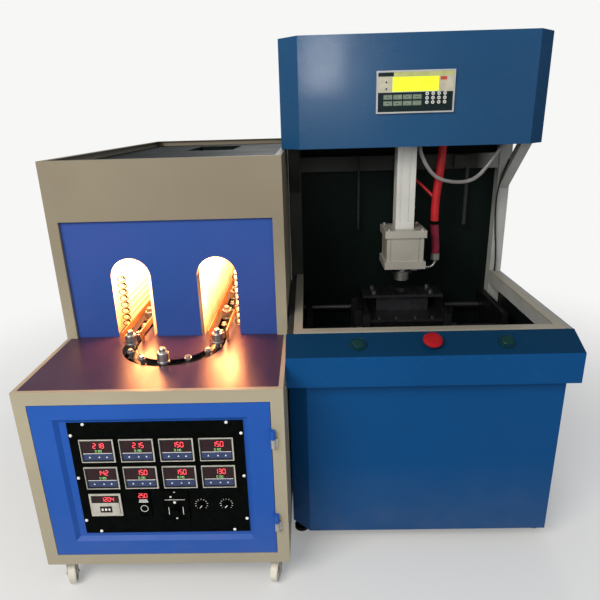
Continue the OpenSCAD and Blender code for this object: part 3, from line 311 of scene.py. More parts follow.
black_plastic = moulded_plastic("black_plastic", (0.0012, 0.0018, 0.0014), 0.55, 0.10, 0.02)
wheel_plastic = moulded_plastic("wheel_plastic", (0.58, 0.55, 0.47), 0.5)
green_plastic = moulded_plastic("green_cap", (0.003, 0.026, 0.024), 0.35, 0.03, 0.14)
red_plastic = moulded_plastic("red_cap", (0.26, 0.006, 0.009), 0.32, 0.03, 0.12)
cable_rubber = moulded_plastic("cable_rubber", (0.012, 0.012, 0.014), 0.5)
bezel_plastic = moulded_plastic("bezel_plastic", (0.42, 0.40, 0.35), 0.45)
white_plastic = moulded_plastic("white_plastic", (0.75, 0.74, 0.70), 0.4)
print("materials so far:", len(bpy.data.materials))


# %% [markdown]
# New pieces are shaped with bmesh operators and then turned into objects by one closing step, which
# recalculates the normals, gives the material and lets the piece ride on its CAD body.

# %% Helpers for pieces
def finish_piece(shape, name, material, body, smooth=False):
    bmesh.ops.recalc_face_normals(shape, faces=shape.faces)
    mesh = bpy.data.meshes.new(name)
    shape.to_mesh(mesh)
    shape.free()
    if smooth:
        mesh.shade_smooth()
        mesh.set_sharp_from_angle(angle=math.radians(35))
    mesh.materials.append(material)
    piece = add_object(name, mesh)
    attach(piece, body)


def add_block(shape, low, high, edge=0.0):
    place = Matrix.Translation((low + high) / 2) @ Matrix.Diagonal((*(high - low), 1))
    made = bmesh.ops.create_cube(shape, size=1.0, matrix=place)
    if edge:
        edges = list({e for v in made["verts"] for e in v.link_edges})
        bmesh.ops.bevel(shape, geom=edges, offset=edge, segments=2, profile=0.5, affect="EDGES", material=-1)
    return made["verts"]


def add_rod(shape, start, end, radius, sides=16):
    axis = end - start
    bmesh.ops.create_cone(shape, cap_ends=True, segments=sides, radius1=radius, radius2=radius,
                          depth=axis.length, matrix=Matrix.Translation((start + end) / 2) @ facing(axis))


def add_dome(shape, middle, radius, height, axis):
    flat = Matrix.Diagonal((radius, radius, height, 1))
    bmesh.ops.create_uvsphere(shape, u_segments=20, v_segments=10, radius=1.0,
                              matrix=Matrix.Translation(middle) @ facing(axis) @ flat)


# %% [markdown]
# Three lines run free in the press. The red hose brings the blowing air, the clear tube feeds the
# sealing cylinder and the black lead goes to a sensor. Each is one curve through the points of the
# drawing with a round bevel.

# %% Hose routes
AIR_Y = 740
hose_route = [(x, STATION_Y, z) for x, z in (
    (141, 953), (141, 972), (139, 1000), (135, 1040), (131, 1085), (130, 1130), (131, 1180), (135, 1230),
    (140, 1280), (144, 1330), (146, 1375), (146, 1405), (146, 1424))]
air_route = [(x, AIR_Y, z) for x, z in (
    (40, 1424), (41, 1401), (45, 1374), (58, 1344), (76, 1313), (100, 1286), (128, 1269), (164, 1259),
    (204, 1256), (240, 1261), (270, 1277), (294, 1302), (313, 1328), (330, 1353), (346, 1375), (361, 1398),
    (373, 1420))]
cable_route = [
    (423, 838, 1330), (423, 846, 1318), (422, 860, 1300), (420, 880, 1270), (417, 900, 1232),
    (416, 914, 1190), (417, 924, 1150), (420, 930, 1110), (424, 933, 1060), (429, 934, 1010),
    (435, 934, 960), (439, 934, 915), (441, 933, 872), (441, 933, 834)]


def lay_hose(name, route, diameter, material, node):
    points = [press(*p) for p in route]
    curve = bpy.data.curves.new(name, "CURVE")
    curve.dimensions = "3D"
    curve.bevel_depth = diameter / 2
    curve.bevel_resolution = 4
    curve.resolution_u = 6
    curve.use_fill_caps = True
    spline = curve.splines.new("BEZIER")
    spline.bezier_points.add(len(points) - 1)
    for knot, point in zip(spline.bezier_points, points):
        knot.co = point
        knot.handle_left_type = knot.handle_right_type = "AUTO"
    curve.materials.append(material)
    hose = add_object(name, curve)
    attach(hose, "machine")
    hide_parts(node)


# %% Hose rubber that darkens below its joint
HOSE_JOINT_Z = 1.083
red_rubber, red_shader = new_material("red_hose_rubber", (0.50, 0.03, 0.025), 0.40)
over_joint = calc(red_rubber, "GREATER_THAN", object_axis(red_rubber, "Z"), HOSE_JOINT_Z)
upper_red = ramp(red_rubber, object_noise(red_rubber, 30, 4), (0.34, 0.008, 0.012), (0.48, 0.014, 0.018))
lower_red = ramp(red_rubber, object_noise(red_rubber, 30, 4), (0.13, 0.006, 0.020), (0.20, 0.010, 0.030))
wire(red_rubber, red_shader, {"Specular IOR Level": 0.3,
                              "Base Color": mixed(red_rubber, over_joint, lower_red, upper_red)})
bumpy(red_rubber, red_shader, object_noise(red_rubber, 500, 2, (1, 1, 0.2)), 0.15, 0.0005)

clear_tube, clear_shader = new_material("clear_tube", (0.62, 0.60, 0.57), 0.22)
tube_haze = ramp(clear_tube, object_noise(clear_tube, 18, 3), (0.24, 0.225, 0.22), (0.34, 0.32, 0.31))
wire(clear_tube, clear_shader, {"Transmission Weight": 0.35, "Base Color": tube_haze})

# %% Lay the three lines
lay_hose("red_hose", hose_route, 0.034, red_rubber, "blow_hose")
lay_hose("clear_hose", air_route, 0.015, clear_tube, "air_hose")
lay_hose("sensor_lead", cable_route, 0.007, cable_rubber, "signal_cable")

# %% Hose clamp
clamp = bmesh.new()
add_rod(clamp, press(131, STATION_Y, 1077), press(131, STATION_Y, 1091), 0.0184, 24)
add_block(clamp, press(112, 792, 1079), press(126, 802, 1089), 0.001)
finish_piece(clamp, "hose_clamp", black_plastic, "machine", smooth=True)

# %% [markdown]
# Most CAD nodes have the right shape already and only need their finish. One table pairs the finishes
# with the nodes.

# %% Finishes of the CAD nodes
finishes = [
    (cream_paint, "heater_frame heater_box heater_skins"),
    (tray_paint, "tray_frame"),
    (frame_paint, "press_frame"),
    (cobalt_paint, "control_door"),
    (oven_paint, "arched_panel"),
    (press_paint, "press_front"),
    (hood_paint, "hood"),
    (green_black_paint, "rear_cover oven_deck gear_motor"),
    (table_paint, "heater_table"),
    (zinc, "hinge_halves caster_fork_1 caster_fork_2 caster_fork_3 caster_fork_4"),
    (turned_steel, "mandrels front_wheel drive_wheel blow_nozzle blow_elbow"),
    (dark_steel, "conveyor_chain clamp_frame left_platen right_platen press_feet exhaust_fan"),
    (mould_metal, "left_mould right_mould base_mould"),
    (chrome, "stretch_rod"),
    (silver_anodised, "sealing_cylinder"),
    (panel_frame, "operator_panel"),
    (pale_anodised, "stretch_cylinder"),
    (black_plastic, "control_plate conveyor_bed motor_drive speed_controller"),
    (black_plastic, "speed_knob left_timer_knob right_timer_knob"),
    (wheel_plastic, "caster_wheel_1 caster_wheel_2 caster_wheel_3 caster_wheel_4"),
    (green_plastic, "start_button_left start_button_right"),
    (red_plastic, "stop_button"),
]
for finish, names in finishes:
    dress(finish, *names.split())
print("nodes with a plain finish:", sum(len(names.split()) for _, names in finishes))

# %% [markdown]
# The side covers of the press are blue outside. Inside the mould bay they get a nearly black painted shade,
# so their material looks at the distance from the middle plane: the outer skin is blue and the rest is dark.

# %% Painted shade inside the side covers
BLUE_FROM = 0.4745
side_paint = press_paint.copy()
side_paint.name = "side_cover_enamel_painted_shade"
off_middle = calc(side_paint, "SUBTRACT", object_axis(side_paint, "X"), press(0, 0, 0).x)
inner = calc(side_paint, "LESS_THAN", calc(side_paint, "ABSOLUTE", off_middle), BLUE_FROM)
# painted shade: the faces inside the mould bay are painted nearly black
overpaint(side_paint, inner, (0.006, 0.008, 0.008))
dress(side_paint, "press_sides")

# %% [markdown]
# The sloped top of the button ledge faces up, and it is darkened as painted shade. It is the part of the
# console that lies behind the front face, so the depth picks it out.

# %% Painted shade on the top of the console
ledge_paint = press_paint.copy()
ledge_paint.name = "ledge_enamel_painted_shade"
console_front = min(v.co.y for v in parts["console"].data.vertices)
behind = calc(ledge_paint, "GREATER_THAN", object_axis(ledge_paint, "Y"), console_front + 0.0012)
# painted shade: the sloped top is multiplied darker
overpaint(ledge_paint, behind, (0.68, 0.46, 0.37), "MULTIPLY")
dress(ledge_paint, "console")

# %% [markdown]
# The lamps are lit. Quartz tubes glow yellow white. The tunnel walls send the light back out through the
# arches, and this light is painted on them as a warm emission that fades towards the table; the guard rails
# get a faint red painted glow the same way.

# %% Lamps and tunnel glow
GLOW_FROM, GLOW_TO = 0.77, 0.98


def warm_glow(name, base, rough, low, high, strength_low, strength_high):
    material, shader = new_material(name, base, rough)
    rise = fade(material, object_axis(material, "Z"), GLOW_FROM, GLOW_TO)
    cloud = calc(material, "MULTIPLY_ADD", object_noise(material, 9, 4), 0.5,
                 calc(material, "MULTIPLY", rise, 0.75))
    paler = tuple(min(1.0, v * 1.15) for v in base)
    wire(material, shader, {
        "Emission Color": ramp(material, cloud, low, high, 0.2, 0.85),
        "Base Color": ramp(material, cloud, base, paler, 0.3, 0.8),
        "Emission Strength": fade(material, cloud, 0.0, 1.0, strength_low, strength_high)})
    return material


dress(warm_glow("lit_quartz", (0.9, 0.6, 0.3), 0.3, (1.0, 0.42, 0.10), (1.0, 0.70, 0.34), 1.6, 2.6),
      "quartz_lamps")
# painted light: the tunnel walls and guard rails are no lamps; their glow is lamp light painted as emission
dress(warm_glow("reflector_painted_glow", (0.50, 0.36, 0.20), 0.5, (1.0, 0.40, 0.10), (1.0, 0.66, 0.36), 0.45, 3.2),
      "oven_tunnels")
dress(warm_glow("guard_rail_painted_glow", (0.45, 0.16, 0.05), 0.45, (1.0, 0.16, 0.02), (1.0, 0.25, 0.05), 0.10, 0.22),
      "shield_rails")

# %% [markdown]
# Where the lamps end, each has a wire loop that hangs it on the carrier. Against the glow the loops are
# dark rings, one above the other at the outer side of each tunnel.

# %% Lamp end loops
LANES = ((261, -1), (569, 1))
loops = bmesh.new()
for lane_x, side in LANES:
    loop_x = lane_x + side * 60
    for lamp in range(8):
        lamp_z = 786 + lamp * 25
        middle = heater(loop_x, 492, lamp_z)
        angles = [step * math.pi / 6 for step in range(13)]
        rim = [middle + Vector((0.0155 * math.cos(a), 0, 0.0105 * math.sin(a))) for a in angles]
        for start, end in zip(rim, rim[1:]):
            add_rod(loops, start, end, 0.0017, 6)
        add_rod(loops, heater(loop_x, 497, lamp_z), heater(loop_x, 512, lamp_z), 0.0068, 16)
loop_steel = moulded_plastic("scaled_loop", (0.030, 0.012, 0.005), 0.7, 0.10, 0.05)
finish_piece(loops, "lamp_loops", loop_steel, "machine", smooth=True)

# %% [markdown]
# The control plate is the busiest face of the heater. Its screws are low domes. A dome is a sphere that is
# flattened along its axis and sunk halfway into the plate.

# %% Control plate screws
PLATE_MIDDLE = (417.5, 441.5)
PLATE_FACE = 9
FRONT = (0, -1, 0)
REAR = (0, 1, 0)
screws = bmesh.new()
spots = [(side, rise) for side in (-263, 263) for rise in (164, 8, -157)]
spots += [(side, rise) for side in (-220, 220) for rise in (203, -201)]
for side, rise in spots:
    middle = heater(PLATE_MIDDLE[0] + side, PLATE_FACE, PLATE_MIDDLE[1] + rise)
    add_dome(screws, middle, 0.0052, 0.0034, FRONT)
finish_piece(screws, "plate_screws", white_plastic, "door", smooth=True)
print("screws on the control plate:", len(spots))

# %% [markdown]
# Each lamp regulator has a black window with a red reading and a smaller green setting, and a dark blue
# strip with three white arrows below it. The digits are seven bars, as on the real display. One helper
# lays the bars of any number, and all readings of one colour become one piece.

# %% Seven bar digits
BARS = {"0": "abcdef", "1": "bc", "2": "abged", "3": "abgcd", "4": "fgbc", "5": "afgcd",
        "6": "afgedc", "7": "abc", "8": "abcdefg", "9": "abcdfg"}


def add_digits(shape, number, middle, height, face_y, pitch=0.72):
    width = height * 0.5
    thick = height * 0.12
    half = height / 2
    step_x = height * pitch
    left = middle[0] - step_x * (len(number) - 1) / 2
    bars = {"a": (0, half, 1), "g": (0, 0, 1), "d": (0, -half, 1), "f": (-width / 2, half / 2, 0),
            "b": (width / 2, half / 2, 0), "e": (-width / 2, -half / 2, 0), "c": (width / 2, -half / 2, 0)}
    for place, digit in enumerate(number):
        x, z = left + place * step_x, middle[1]
        for bar in BARS[digit]:
            dx, dz, flat = bars[bar]
            w, h = (width - thick, thick) if flat else (thick, half - thick)
            add_block(shape, heater(x + dx - w / 2, face_y - 0.5, z + dz - h / 2),
                      heater(x + dx + w / 2, face_y, z + dz + h / 2))


def glowing(name, colour, strength):
    material, shader = new_material(name, tuple(v * 0.5 for v in colour), 0.4)
    dim, pale = (tuple(v * share for v in colour) for share in (0.4, 0.6))
    wire(material, shader, {"Emission Color": (*colour, 1), "Emission Strength": strength,
                            "Base Color": ramp(material, object_noise(material, 140, 2), dim, pale)})
    return material


red_glow = glowing("red_digits", (1.0, 0.07, 0.09), 1.6)
green_glow = glowing("green_digits", (0.35, 0.75, 0.25), 0.8)

# %% Regulator faces
MODULE_PITCH_X, MODULE_PITCH_Z = 123.5, 100
MODULE_X = [230.25 + i * MODULE_PITCH_X for i in range(4)]
MODULE_Z = [551.5, 451.5]
FACE_FLOOR = 6
READINGS = [["218", "215", "150", "150"], ["142", "150", "150", "130"]]


def face_block(shape, x, z, sides, front, back=0.0, edge=0.0):
    left, low, right, high = sides
    return add_block(shape, heater(x + left, FACE_FLOOR - front, z + low),
                     heater(x + right, FACE_FLOOR - back, z + high), edge)


windows, strips, arrows, red_bars, green_bars = (bmesh.new() for _ in range(5))
for row, z in enumerate(MODULE_Z):
    for column, x in enumerate(MODULE_X):
        face_block(windows, x, z, (-46, -8, 46, 34), 1.0, edge=0.0006)
        face_block(strips, x, z, (-46, -34, 46, -11), 0.8, edge=0.0006)
        face_block(arrows, x, z, (-46, -10.2, 46, -8.8), 0.9)
        for key in (-26, 4, 28):
            foot = heater(x + key - 3, 0, z - 25)
            for v in face_block(arrows, x + key, z, (-3, -25, 3, -19), 1.2, 0.7):
                if v.co.z > foot.z + 0.003:
                    v.co.x = foot.x + 0.003
        add_digits(red_bars, READINGS[row][column], (x + 6, z + 19), 17, FACE_FLOOR - 1.0)
        add_digits(green_bars, "0" + str(120 + 10 * column), (x + 4, z - 0.5), 7.5, FACE_FLOOR - 1.0)
smoked_window = moulded_plastic("smoked_window", (0.020, 0.006, 0.008), 0.12, 0.0)
key_strip = moulded_plastic("key_strip", (0.030, 0.045, 0.11), 0.35)
finish_piece(windows, "regulator_windows", smoked_window, "door")
finish_piece(strips, "regulator_key_strips", key_strip, "door")
finish_piece(arrows, "regulator_arrows", white_plastic, "door")

# %% [markdown]
# The last row holds a counter with a pale face, a motor drive with a red reading, a speed regulator with
# a square dial and two timers whose dials are rings of white strokes.

# %% Counter, drive and regulator
COUNTER_X, DRIVE_X, SPEED_X = 228.25, 351.5, 453.5
LOWER_Z, SPEED_Z = 347.5, 343
pale_face, dark_face, details = bmesh.new(), bmesh.new(), bmesh.new()
face_block(pale_face, COUNTER_X, LOWER_Z, (-44, -36, 44, 8), 2.6, edge=0.001)
face_block(dark_face, COUNTER_X, LOWER_Z, (-43, 9, 43, 35), 1.0, edge=0.0006)
face_block(dark_face, COUNTER_X, LOWER_Z, (-20, -28, 19, -4), 3.4, 2.2, 0.0006)
add_digits(red_bars, "1204", (COUNTER_X + 8, LOWER_Z + 22), 15, FACE_FLOOR - 1.0)
for key in range(3):
    face_block(details, COUNTER_X + key * 11, LOWER_Z, (-15, -20, -9, -12), 3.9, 3.2)
add_digits(red_bars, "250", (DRIVE_X, LOWER_Z + 34), 15, FACE_FLOOR - 0.2, 0.66)
for row, width in ((17, 13), (10, 15)):
    face_block(details, DRIVE_X, LOWER_Z + row, (-width, -2, width, 1.5), 0.6, -0.1)
middle = heater(DRIVE_X, FACE_FLOOR - 0.8, LOWER_Z - 16)
ring = bmesh.ops.create_circle(details, cap_ends=False, segments=40, radius=0.011,
                               matrix=Matrix.Translation(middle) @ Matrix.Rotation(math.pi / 2, 4, "X"))
ring_edges = list({e for v in ring["verts"] for e in v.link_edges})
for made in bmesh.ops.extrude_edge_only(details, edges=ring_edges)["geom"]:
    if isinstance(made, bmesh.types.BMVert):
        made.co = middle + (made.co - middle) * 1.14
for side, rise, radius, height in (
        (0, 52, 0.0036, 0.002), (0, -52, 0.0036, 0.002), (-13, 32, 0.0034, 0.0022), (-2, 10, 0.0046, 0.0022)):
    add_dome(details, heater(SPEED_X + side, FACE_FLOOR - 0.2, SPEED_Z + rise), radius, height, FRONT)
for side in (-24, 22):
    face_block(details, SPEED_X + side, SPEED_Z, (0, -38, 1.6, -8), 0.6)
face_block(details, SPEED_X, SPEED_Z, (-34, 20, 32, 21.2), 0.6)
finish_piece(pale_face, "counter_face", bezel_plastic, "door")
finish_piece(dark_face, "counter_windows", smoked_window, "door")

# %% Timer dials
TIMER_X = {"left_timer_knob": 536.5, "right_timer_knob": 617.5}
TIMER_Z = 342.5
DIAL_Y = PLATE_FACE - 0.3
for knob_x in TIMER_X.values():
    for tick in range(11):
        angle = math.radians(225 - tick * 27)
        inside, tip = (heater(knob_x + reach * math.cos(angle), DIAL_Y, TIMER_Z + reach * math.sin(angle))
                       for reach in (17, 21.5))
        add_rod(details, inside, tip, 0.0007, 6)
finish_piece(details, "dial_strokes", white_plastic, "door")
for knob, knob_x in TIMER_X.items():
    pointer = bmesh.new()
    knob_front = min(v.co.y for v in parts[knob].data.vertices)
    middle = Vector((heater(knob_x, 0, 0).x, knob_front, heater(0, 0, TIMER_Z).z))
    along = Vector((math.sin(math.radians(40)), 0, math.cos(math.radians(40))))
    add_rod(pointer, middle - along * 0.003, middle + along * 0.0085, 0.0011, 8)
    finish_piece(pointer, knob + "_pointer", white_plastic, knob)
finish_piece(red_bars, "red_readings", red_glow, "door")
finish_piece(green_bars, "green_settings", green_glow, "door")
print("readings on the control plate are done")

# %% [markdown]
# The frames of the regulators are pale and their cases are black. Both are one CAD node, so the material
# looks at the place: what stands out in front of the window and lies at the rim of its regulator gets the
# pale plastic, and so does the whole front of the counter below them.

# %% Pale frames on the regulators
framed_case, framed_shader = new_material("framed_case", (0.012, 0.012, 0.013), 0.42)


def off_rim(value, middle, pitch, reach):
    for operation, number in (
            ("SUBTRACT", middle - pitch / 2), ("FLOORED_MODULO", pitch), ("SUBTRACT", pitch / 2)):
        value = calc(framed_case, operation, value, number)
    return calc(framed_case, "GREATER_THAN", calc(framed_case, "ABSOLUTE", value), reach)


case_x, case_y, case_z = (object_axis(framed_case, axis) for axis in "XYZ")
in_front = calc(framed_case, "LESS_THAN", case_y, heater(0, 5.7, 0).y)
beside = off_rim(case_x, heater(MODULE_X[0], 0, 0).x, MODULE_PITCH_X / 1000, 0.0500)
above = off_rim(case_z, heater(0, 0, MODULE_Z[1]).z, MODULE_PITCH_Z / 1000, 0.0380)
counter_row = calc(framed_case, "LESS_THAN", case_z, heater(0, 0, 400).z)
rim = calc(framed_case, "MAXIMUM", calc(framed_case, "MAXIMUM", beside, above), counter_row)
pale = ramp(framed_case, object_noise(framed_case, 60, 3), (0.42, 0.40, 0.34), (0.52, 0.50, 0.43))
pale_part = calc(framed_case, "MULTIPLY", in_front, rim)
wire(framed_case, framed_shader, {"Base Color": mixed(framed_case, pale_part, (0.006, 0.007, 0.007), pale)})
bumpy(framed_case, framed_shader, object_noise(framed_case, 800, 2), 0.08, 0.0003)
dress(framed_case, "display_modules")

# %% [markdown]
# The operator panel on the hood is a foil with printed fields behind a silver frame. Each field is a thin
# plate in the frame's recess, so that the colours meet in clean edges.

# %% Operator panel
PANEL_FLOOR = 634
KEY_FACE = (632.1, 632.6)
HMI_X, HMI_Z = -6, 1588
navy_foil = moulded_plastic("navy_foil", (0.007, 0.015, 0.016), 0.4, 0.10, 0.10)
cream_foil = moulded_plastic("cream_foil", (0.42, 0.39, 0.30), 0.4)
olive_foil = moulded_plastic("olive_foil", (0.40, 0.42, 0.16), 0.38)
red_foil = moulded_plastic("red_foil", (0.42, 0.06, 0.03), 0.38)
for name, low, high, foil, thick, slot in (
        ("panel_keys_field", (-132.5, -66), (132.5, -1), navy_foil, 0.6, "black_plastic"),
        ("panel_top_strip", (-132.5, 52), (-78, 65), navy_foil, 0.6, "black_plastic"),
        ("panel_left_field", (-132.5, -1), (-83, 52), cream_foil, 0.6, "black_plastic"),
        ("panel_top_field", (-78, 52), (132.5, 65), olive_foil, 0.6, "black_plastic"),
        ("panel_right_field", (83, -1), (132.5, 52), cream_foil, 0.6, "black_plastic"),
        ("panel_red_field", (86, 37), (109, 48), red_foil, 1.0, "red_plastic")):
    field = bmesh.new()
    add_block(field, press(HMI_X + low[0], PANEL_FLOOR - thick, HMI_Z + low[1]),
              press(HMI_X + high[0], PANEL_FLOOR, HMI_Z + high[1]), 0.0002)
    finish_piece(field, name, foil, "machine")
screen_glow, screen_shader = new_material("lit_screen", (0.45, 0.52, 0.02), 0.18)
screen_haze = object_noise(screen_glow, 30, 3)
wire(screen_glow, screen_shader, {
    "Emission Color": (0.70, 0.80, 0.02, 1), "Emission Strength": 0.75,
    "Base Color": ramp(screen_glow, screen_haze, (0.42, 0.50, 0.02), (0.52, 0.60, 0.03))})
screen = bmesh.new()
add_block(screen, press(HMI_X - 82, 635.2, HMI_Z + 1.5), press(HMI_X + 82, 636, HMI_Z + 50.5), 0.0003)
finish_piece(screen, "panel_screen", screen_glow, "machine")

# %% Marks on the panel
marks = bmesh.new()
for rise in (33, 11):
    add_rod(marks, press(HMI_X - 104, PANEL_FLOOR - 1.4, HMI_Z + rise),
            press(HMI_X - 104, PANEL_FLOOR - 0.4, HMI_Z + rise), 0.0032, 20)
key_outline = (((-12, 5.2), (12, 6)), ((-12, -6), (12, -5.2)), ((-12, -6), (-11.2, 6)),
               ((11.2, -6), (12, 6)), ((-6, -1), (6, 1)))
for column in range(4):
    for row in range(2):
        x, z = HMI_X - 98 + column * 34.6, HMI_Z - 37.5 + row * 21
        for low, high in key_outline:
            add_block(marks, press(x + low[0], KEY_FACE[0], z + low[1]),
                      press(x + high[0], KEY_FACE[1], z + high[1]))
for column in range(4):
    for row in range(3):
        x, z = HMI_X + 41.5 + column * 21, HMI_Z - 36 + row * 14.5
        add_rod(marks, press(x, KEY_FACE[0], z), press(x, KEY_FACE[1], z), 0.0022, 12)
finish_piece(marks, "panel_marks", navy_foil, "machine")

# %% Keys in two colours
two_keys, key_shader = new_material("panel_key_foil", (0.30, 0.36, 0.24), 0.4)
round_side = calc(two_keys, "GREATER_THAN", object_axis(two_keys, "X"), press(HMI_X + 30, 0, 0).x)
grey_green = ramp(two_keys, object_noise(two_keys, 50, 3), (0.18, 0.24, 0.17), (0.25, 0.32, 0.22))
wire(two_keys, key_shader, {"Base Color": mixed(two_keys, round_side, grey_green, (0.60, 0.60, 0.55))})
bumpy(two_keys, key_shader, object_noise(two_keys, 700, 2), 0.08, 0.0002)
dress(two_keys, "panel_keys")

# %% [markdown]
# Round each start button sits a dark plastic ring, which covers the plain collar of the console.

# %% Button rings
SLOPE = math.atan2(45, 97)
outward = Vector((0, -math.sin(SLOPE), math.cos(SLOPE)))
ring_plastic = moulded_plastic("button_ring", (0.004, 0.030, 0.022), 0.35)
rings = bmesh.new()
for side in (-241, 241):
    base = press(side, 203.5, 805.5)
    for start, end, radius in ((0.0, 0.0064, 0.0272), (0.0064, 0.0074, 0.0262)):
        place = Matrix.Translation(base + outward * (start + end) / 2) @ facing(outward)
        bmesh.ops.create_cone(rings, cap_ends=False, segments=48, radius1=radius, radius2=radius - 0.0006,
                              depth=end - start, matrix=place)
bmesh.ops.solidify(rings, geom=rings.faces[:], thickness=0.0008)
finish_piece(rings, "button_rings", ring_plastic, "machine", smooth=True)

# %% [markdown]
# The head carries fasteners: socket screws on the flanges of the sealing cylinder, hexagon screws on the
# neck plates and small push-in fittings for air. They are small, but without them the blocks look bare.

# %% Screws of the head and the mould
FLANGE_TOP, CYLINDER_TOP, NECK_TOP, MOULD_TOP = 1067, 1629, 790, 715


def stacked_rods(shape, top, rods):
    start = 0
    for end, radius, sides in rods:
        add_rod(shape, top + Vector((0, 0, start)), top + Vector((0, 0, end)), radius, sides)
        start = end


def corners(x_reach, y_reach):
    return [(x, STATION_Y + y) for x in x_reach for y in y_reach]


head_screws = bmesh.new()
for x, y in corners((-68, 68), (-68, 68)):
    stacked_rods(head_screws, press(x, y, FLANGE_TOP), ((0.009, 0.0085, 20), (0.0094, 0.0045, 6)))
for x, y in corners((-29, 29), (-29, 29)):
    stacked_rods(head_screws, press(x, y, CYLINDER_TOP), ((0.004, 0.005, 16),))
finish_piece(head_screws, "head_screws", turned_steel, "machine", smooth=True)
for side, body in ((-1, "left_clamp"), (1, "right_clamp")):
    mould_screws = bmesh.new()
    for x, y in corners((120,), (-36, 36)):
        stacked_rods(mould_screws, press(side * x, y, NECK_TOP), ((0.003, 0.0115, 24), (0.013, 0.0085, 6)))
    for x, y in corners((40, 110), (-145, 145)):
        stacked_rods(mould_screws, press(side * x, y, MOULD_TOP), ((0.007, 0.0075, 20),))
    finish_piece(mould_screws, body + "_screws", oxide_steel, body, smooth=True)


# %% Push-in fittings and the red branch
def add_tube(shape, knots, radius, sides=14, steps=6):
    points = []
    padded = [knots[0], *knots, knots[-1]]
    for a, b, c, d in zip(padded, padded[1:], padded[2:], padded[3:]):
        for i in range(steps):
            t = i / steps
            square, cube = (2 * a - 5 * b + 4 * c - d) * t * t, (3 * b - a - 3 * c + d) * t ** 3
            points.append(0.5 * (2 * b + (c - a) * t + square + cube))
    points.append(knots[-1])
    last = len(points) - 1
    rings = []
    for i, point in enumerate(points):
        along = points[min(i + 1, last)] - points[max(i - 1, 0)]
        place = Matrix.Translation(point) @ facing(along)
        made = bmesh.ops.create_circle(shape, cap_ends=i in (0, last), segments=sides, radius=radius,
                                       matrix=place)
        rings.append(made["verts"])
    for low, high in zip(rings, rings[1:]):
        for k in range(sides):
            shape.faces.new((low[k], low[(k + 1) % sides], high[(k + 1) % sides], high[k]))


branch = bmesh.new()
branch_knots = [press(*p) for p in (
    (131, 815, 1176), (121, 822, 1190), (98, 840, 1214), (66, 858, 1244), (34, 862, 1268), (12, 852, 1280))]
add_tube(branch, branch_knots, 0.0062)
finish_piece(branch, "red_branch", red_rubber, "machine", smooth=True)
fittings = bmesh.new()
for start, end, radius, sides in (
        ((12, 845, 1280), (12, 858, 1280), 0.0080, 20),
        ((30, STATION_Y, 1150), (37, STATION_Y, 1150), 0.0075, 6),
        ((37, STATION_Y, 1150), (46, STATION_Y, 1150), 0.0055, 20),
        ((30, STATION_Y, 1118), (38, STATION_Y, 1118), 0.0062, 20),
        ((-30, 793, 1092), (-36, 793, 1092), 0.0050, 6),
        ((30, 793, 1092), (36, 793, 1092), 0.0050, 6)):
    add_rod(fittings, press(*start), press(*end), radius, sides)
finish_piece(fittings, "air_fittings", turned_steel, "machine", smooth=True)

# %% [markdown]
# Thin covers are held by rows of pan head screws along their edges: the rear cover of the press, and the
# rear and side covers of the heater.

# %% Cover screws
def screw_grid(shape, xs, ys, zs, axis):
    for x in xs:
        for y in ys:
            for z in zs:
                add_dome(shape, Vector((x, y, z)), 0.0055, 0.0028, axis)


SKIN_Z = (0.16, 0.70)
press_rear = max(v.co.y for v in parts["rear_cover"].data.vertices)
press_screws = bmesh.new()
for reach, heights in ((440, (0.22, 0.48, 0.74, 1.0, 1.26)), (150, (0.22, 1.26))):
    screw_grid(press_screws, [press(x, 0, 0).x for x in (-reach, reach)], [press_rear], heights, REAR)
finish_piece(press_screws, "rear_cover_screws", turned_steel, "machine", smooth=True)
heater_rear = max(v.co.y for v in parts["heater_skins"].data.vertices)
heater_screws = bmesh.new()
screw_grid(heater_screws, [heater(x, 0, 0).x for x in (60, 290, 540, 770)], [heater_rear], SKIN_Z, REAR)
for side in (-1, 1):
    flank = heater(407.5 + side * 407.5, 0, 0).x
    along = [heater(0, y, 0).y for y in (120, 460, 810, 1160, 1510, 1860)]
    screw_grid(heater_screws, [flank], along, SKIN_Z, (side, 0, 0))
finish_piece(heater_screws, "heater_cover_screws", turned_steel, "machine", smooth=True)
print("rear screws of the heater at y =", round(heater_rear, 4))

# %% Stop lugs of the nozzle collar
lugs = bmesh.new()
for side in (-1, 1):
    low, high = sorted((side * 30.5, side * 43))
    add_block(lugs, press(low, 809, 866), press(high, 821, 877), 0.001)
finish_piece(lugs, "collar_lugs", dark_steel, "blow_nozzle")

# %% [markdown]
# The floor is pale. A large soft key light stands at the upper left, a weak fill at the right and a
# wide light behind. A small light in front draws a sheen on the hood, and two warm ones stand in the
# mouths of the oven. A black flag that the camera does not see keeps the sky out of the right chamfer of
# the hood. The floor and the world look white to the camera only, so that they do not bleach the machine.

# %% Studio
PAPER_WHITE = (0.93, 0.93, 0.92, 1)


def camera_ray(owner):
    return add_node(owner, "LightPath", {}).outputs["Is Camera Ray"]


def stage_sheet(name, size, colour, roughness, place=None):
    shape = bmesh.new()
    bmesh.ops.create_grid(shape, x_segments=1, y_segments=1, size=size, matrix=place or Matrix())
    mesh = bpy.data.meshes.new(name)
    shape.to_mesh(mesh)
    shape.free()
    material, shader = new_material(name, colour, roughness)
    mesh.materials.append(material)
    return add_object(name, mesh), material, shader


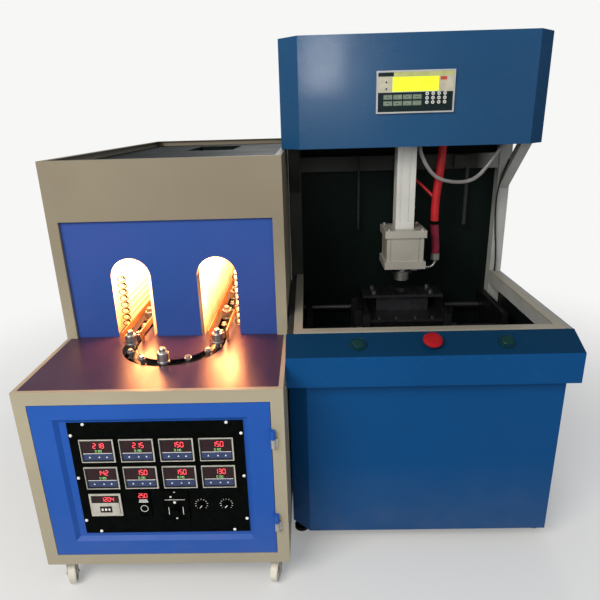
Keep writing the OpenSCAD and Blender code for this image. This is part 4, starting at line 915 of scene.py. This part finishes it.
floor, floor_paint, floor_shader = stage_sheet("studio_floor", 14, (0.74, 0.74, 0.73), 0.8)
reach = add_node(floor_paint, "VectorMath", {0: object_place(floor_paint)}, operation="LENGTH")
far_away = fade(floor_paint, reach.outputs["Value"], 0.9, 3.2, 0.22, 1.0, "SMOOTHSTEP")
white_share = calc(floor_paint, "MULTIPLY", camera_ray(floor_paint), far_away)
bright = add_node(floor_paint, "Emission", {"Color": PAPER_WHITE})
both = add_node(floor_paint, "MixShader", {0: white_share, 1: floor_shader.outputs[0], 2: bright.outputs[0]})
wire(floor_paint, floor_paint.node_tree.nodes["Material Output"], {"Surface": both.outputs[0]})

world = bpy.data.worlds.new("studio")
bpy.context.scene.world = world
world.use_nodes = True
background = world.node_tree.nodes["Background"]
wire(world, background, {"Color": (0.90, 0.93, 1.0, 1), "Strength": 0.34})
seen = add_node(world, "Background", {"Color": PAPER_WHITE, "Strength": 1.0})
choose = add_node(world, "MixShader", {0: camera_ray(world), 1: background.outputs[0], 2: seen.outputs[0]})
wire(world, world.node_tree.nodes["World Output"], {"Surface": choose.outputs[0]})

flag_turn = Matrix.Rotation(math.radians(62), 4, "Z") @ Matrix.Rotation(math.pi / 2, 4, "X")
flag_place = Matrix.Translation((3.4, 1.6, 1.6)) @ flag_turn
flag, _, _ = stage_sheet("black_flag", 1.6, (0.01, 0.01, 0.01), 0.9, flag_place)
flag.visible_camera = False


# %% Lamps
def soft_light(name, spot, target, size, power, colour=(1, 1, 1)):
    data = bpy.data.lights.new(name, "AREA")
    data.shape = "RECTANGLE"
    data.size, data.size_y = size
    data.energy = power
    data.color = colour
    aim = (Vector(target) - Vector(spot)).to_track_quat("-Z", "Y").to_matrix().to_4x4()
    add_object(name, data).matrix_world = Matrix.Translation(spot) @ aim


soft_light("key", (-1.9, -3.4, 3.2), (0, 0, 0.9), (2.4, 1.8), 145, (1.0, 0.97, 0.92))
soft_light("fill", (3.4, -2.6, 2.2), (0.2, 0, 0.9), (2.0, 2.0), 14, (0.92, 0.96, 1.0))
soft_light("back", (0.5, 3.6, 3.4), (0, 0, 1.0), (3.0, 1.6), 70)
soft_light("window_sheen", (0.15, -2.95, 1.92), (0.08, -0.32, 1.68), (0.32, 0.42), 8.0, (0.95, 0.98, 1.0))
for lane_x, _ in LANES:
    soft_light("oven_mouth", heater(lane_x, 470, 930), heater(lane_x, 190, 760), (0.10, 0.16), 2.4,
               (1.0, 0.32, 0.10))
bpy.context.scene.view_settings.view_transform = "Standard"
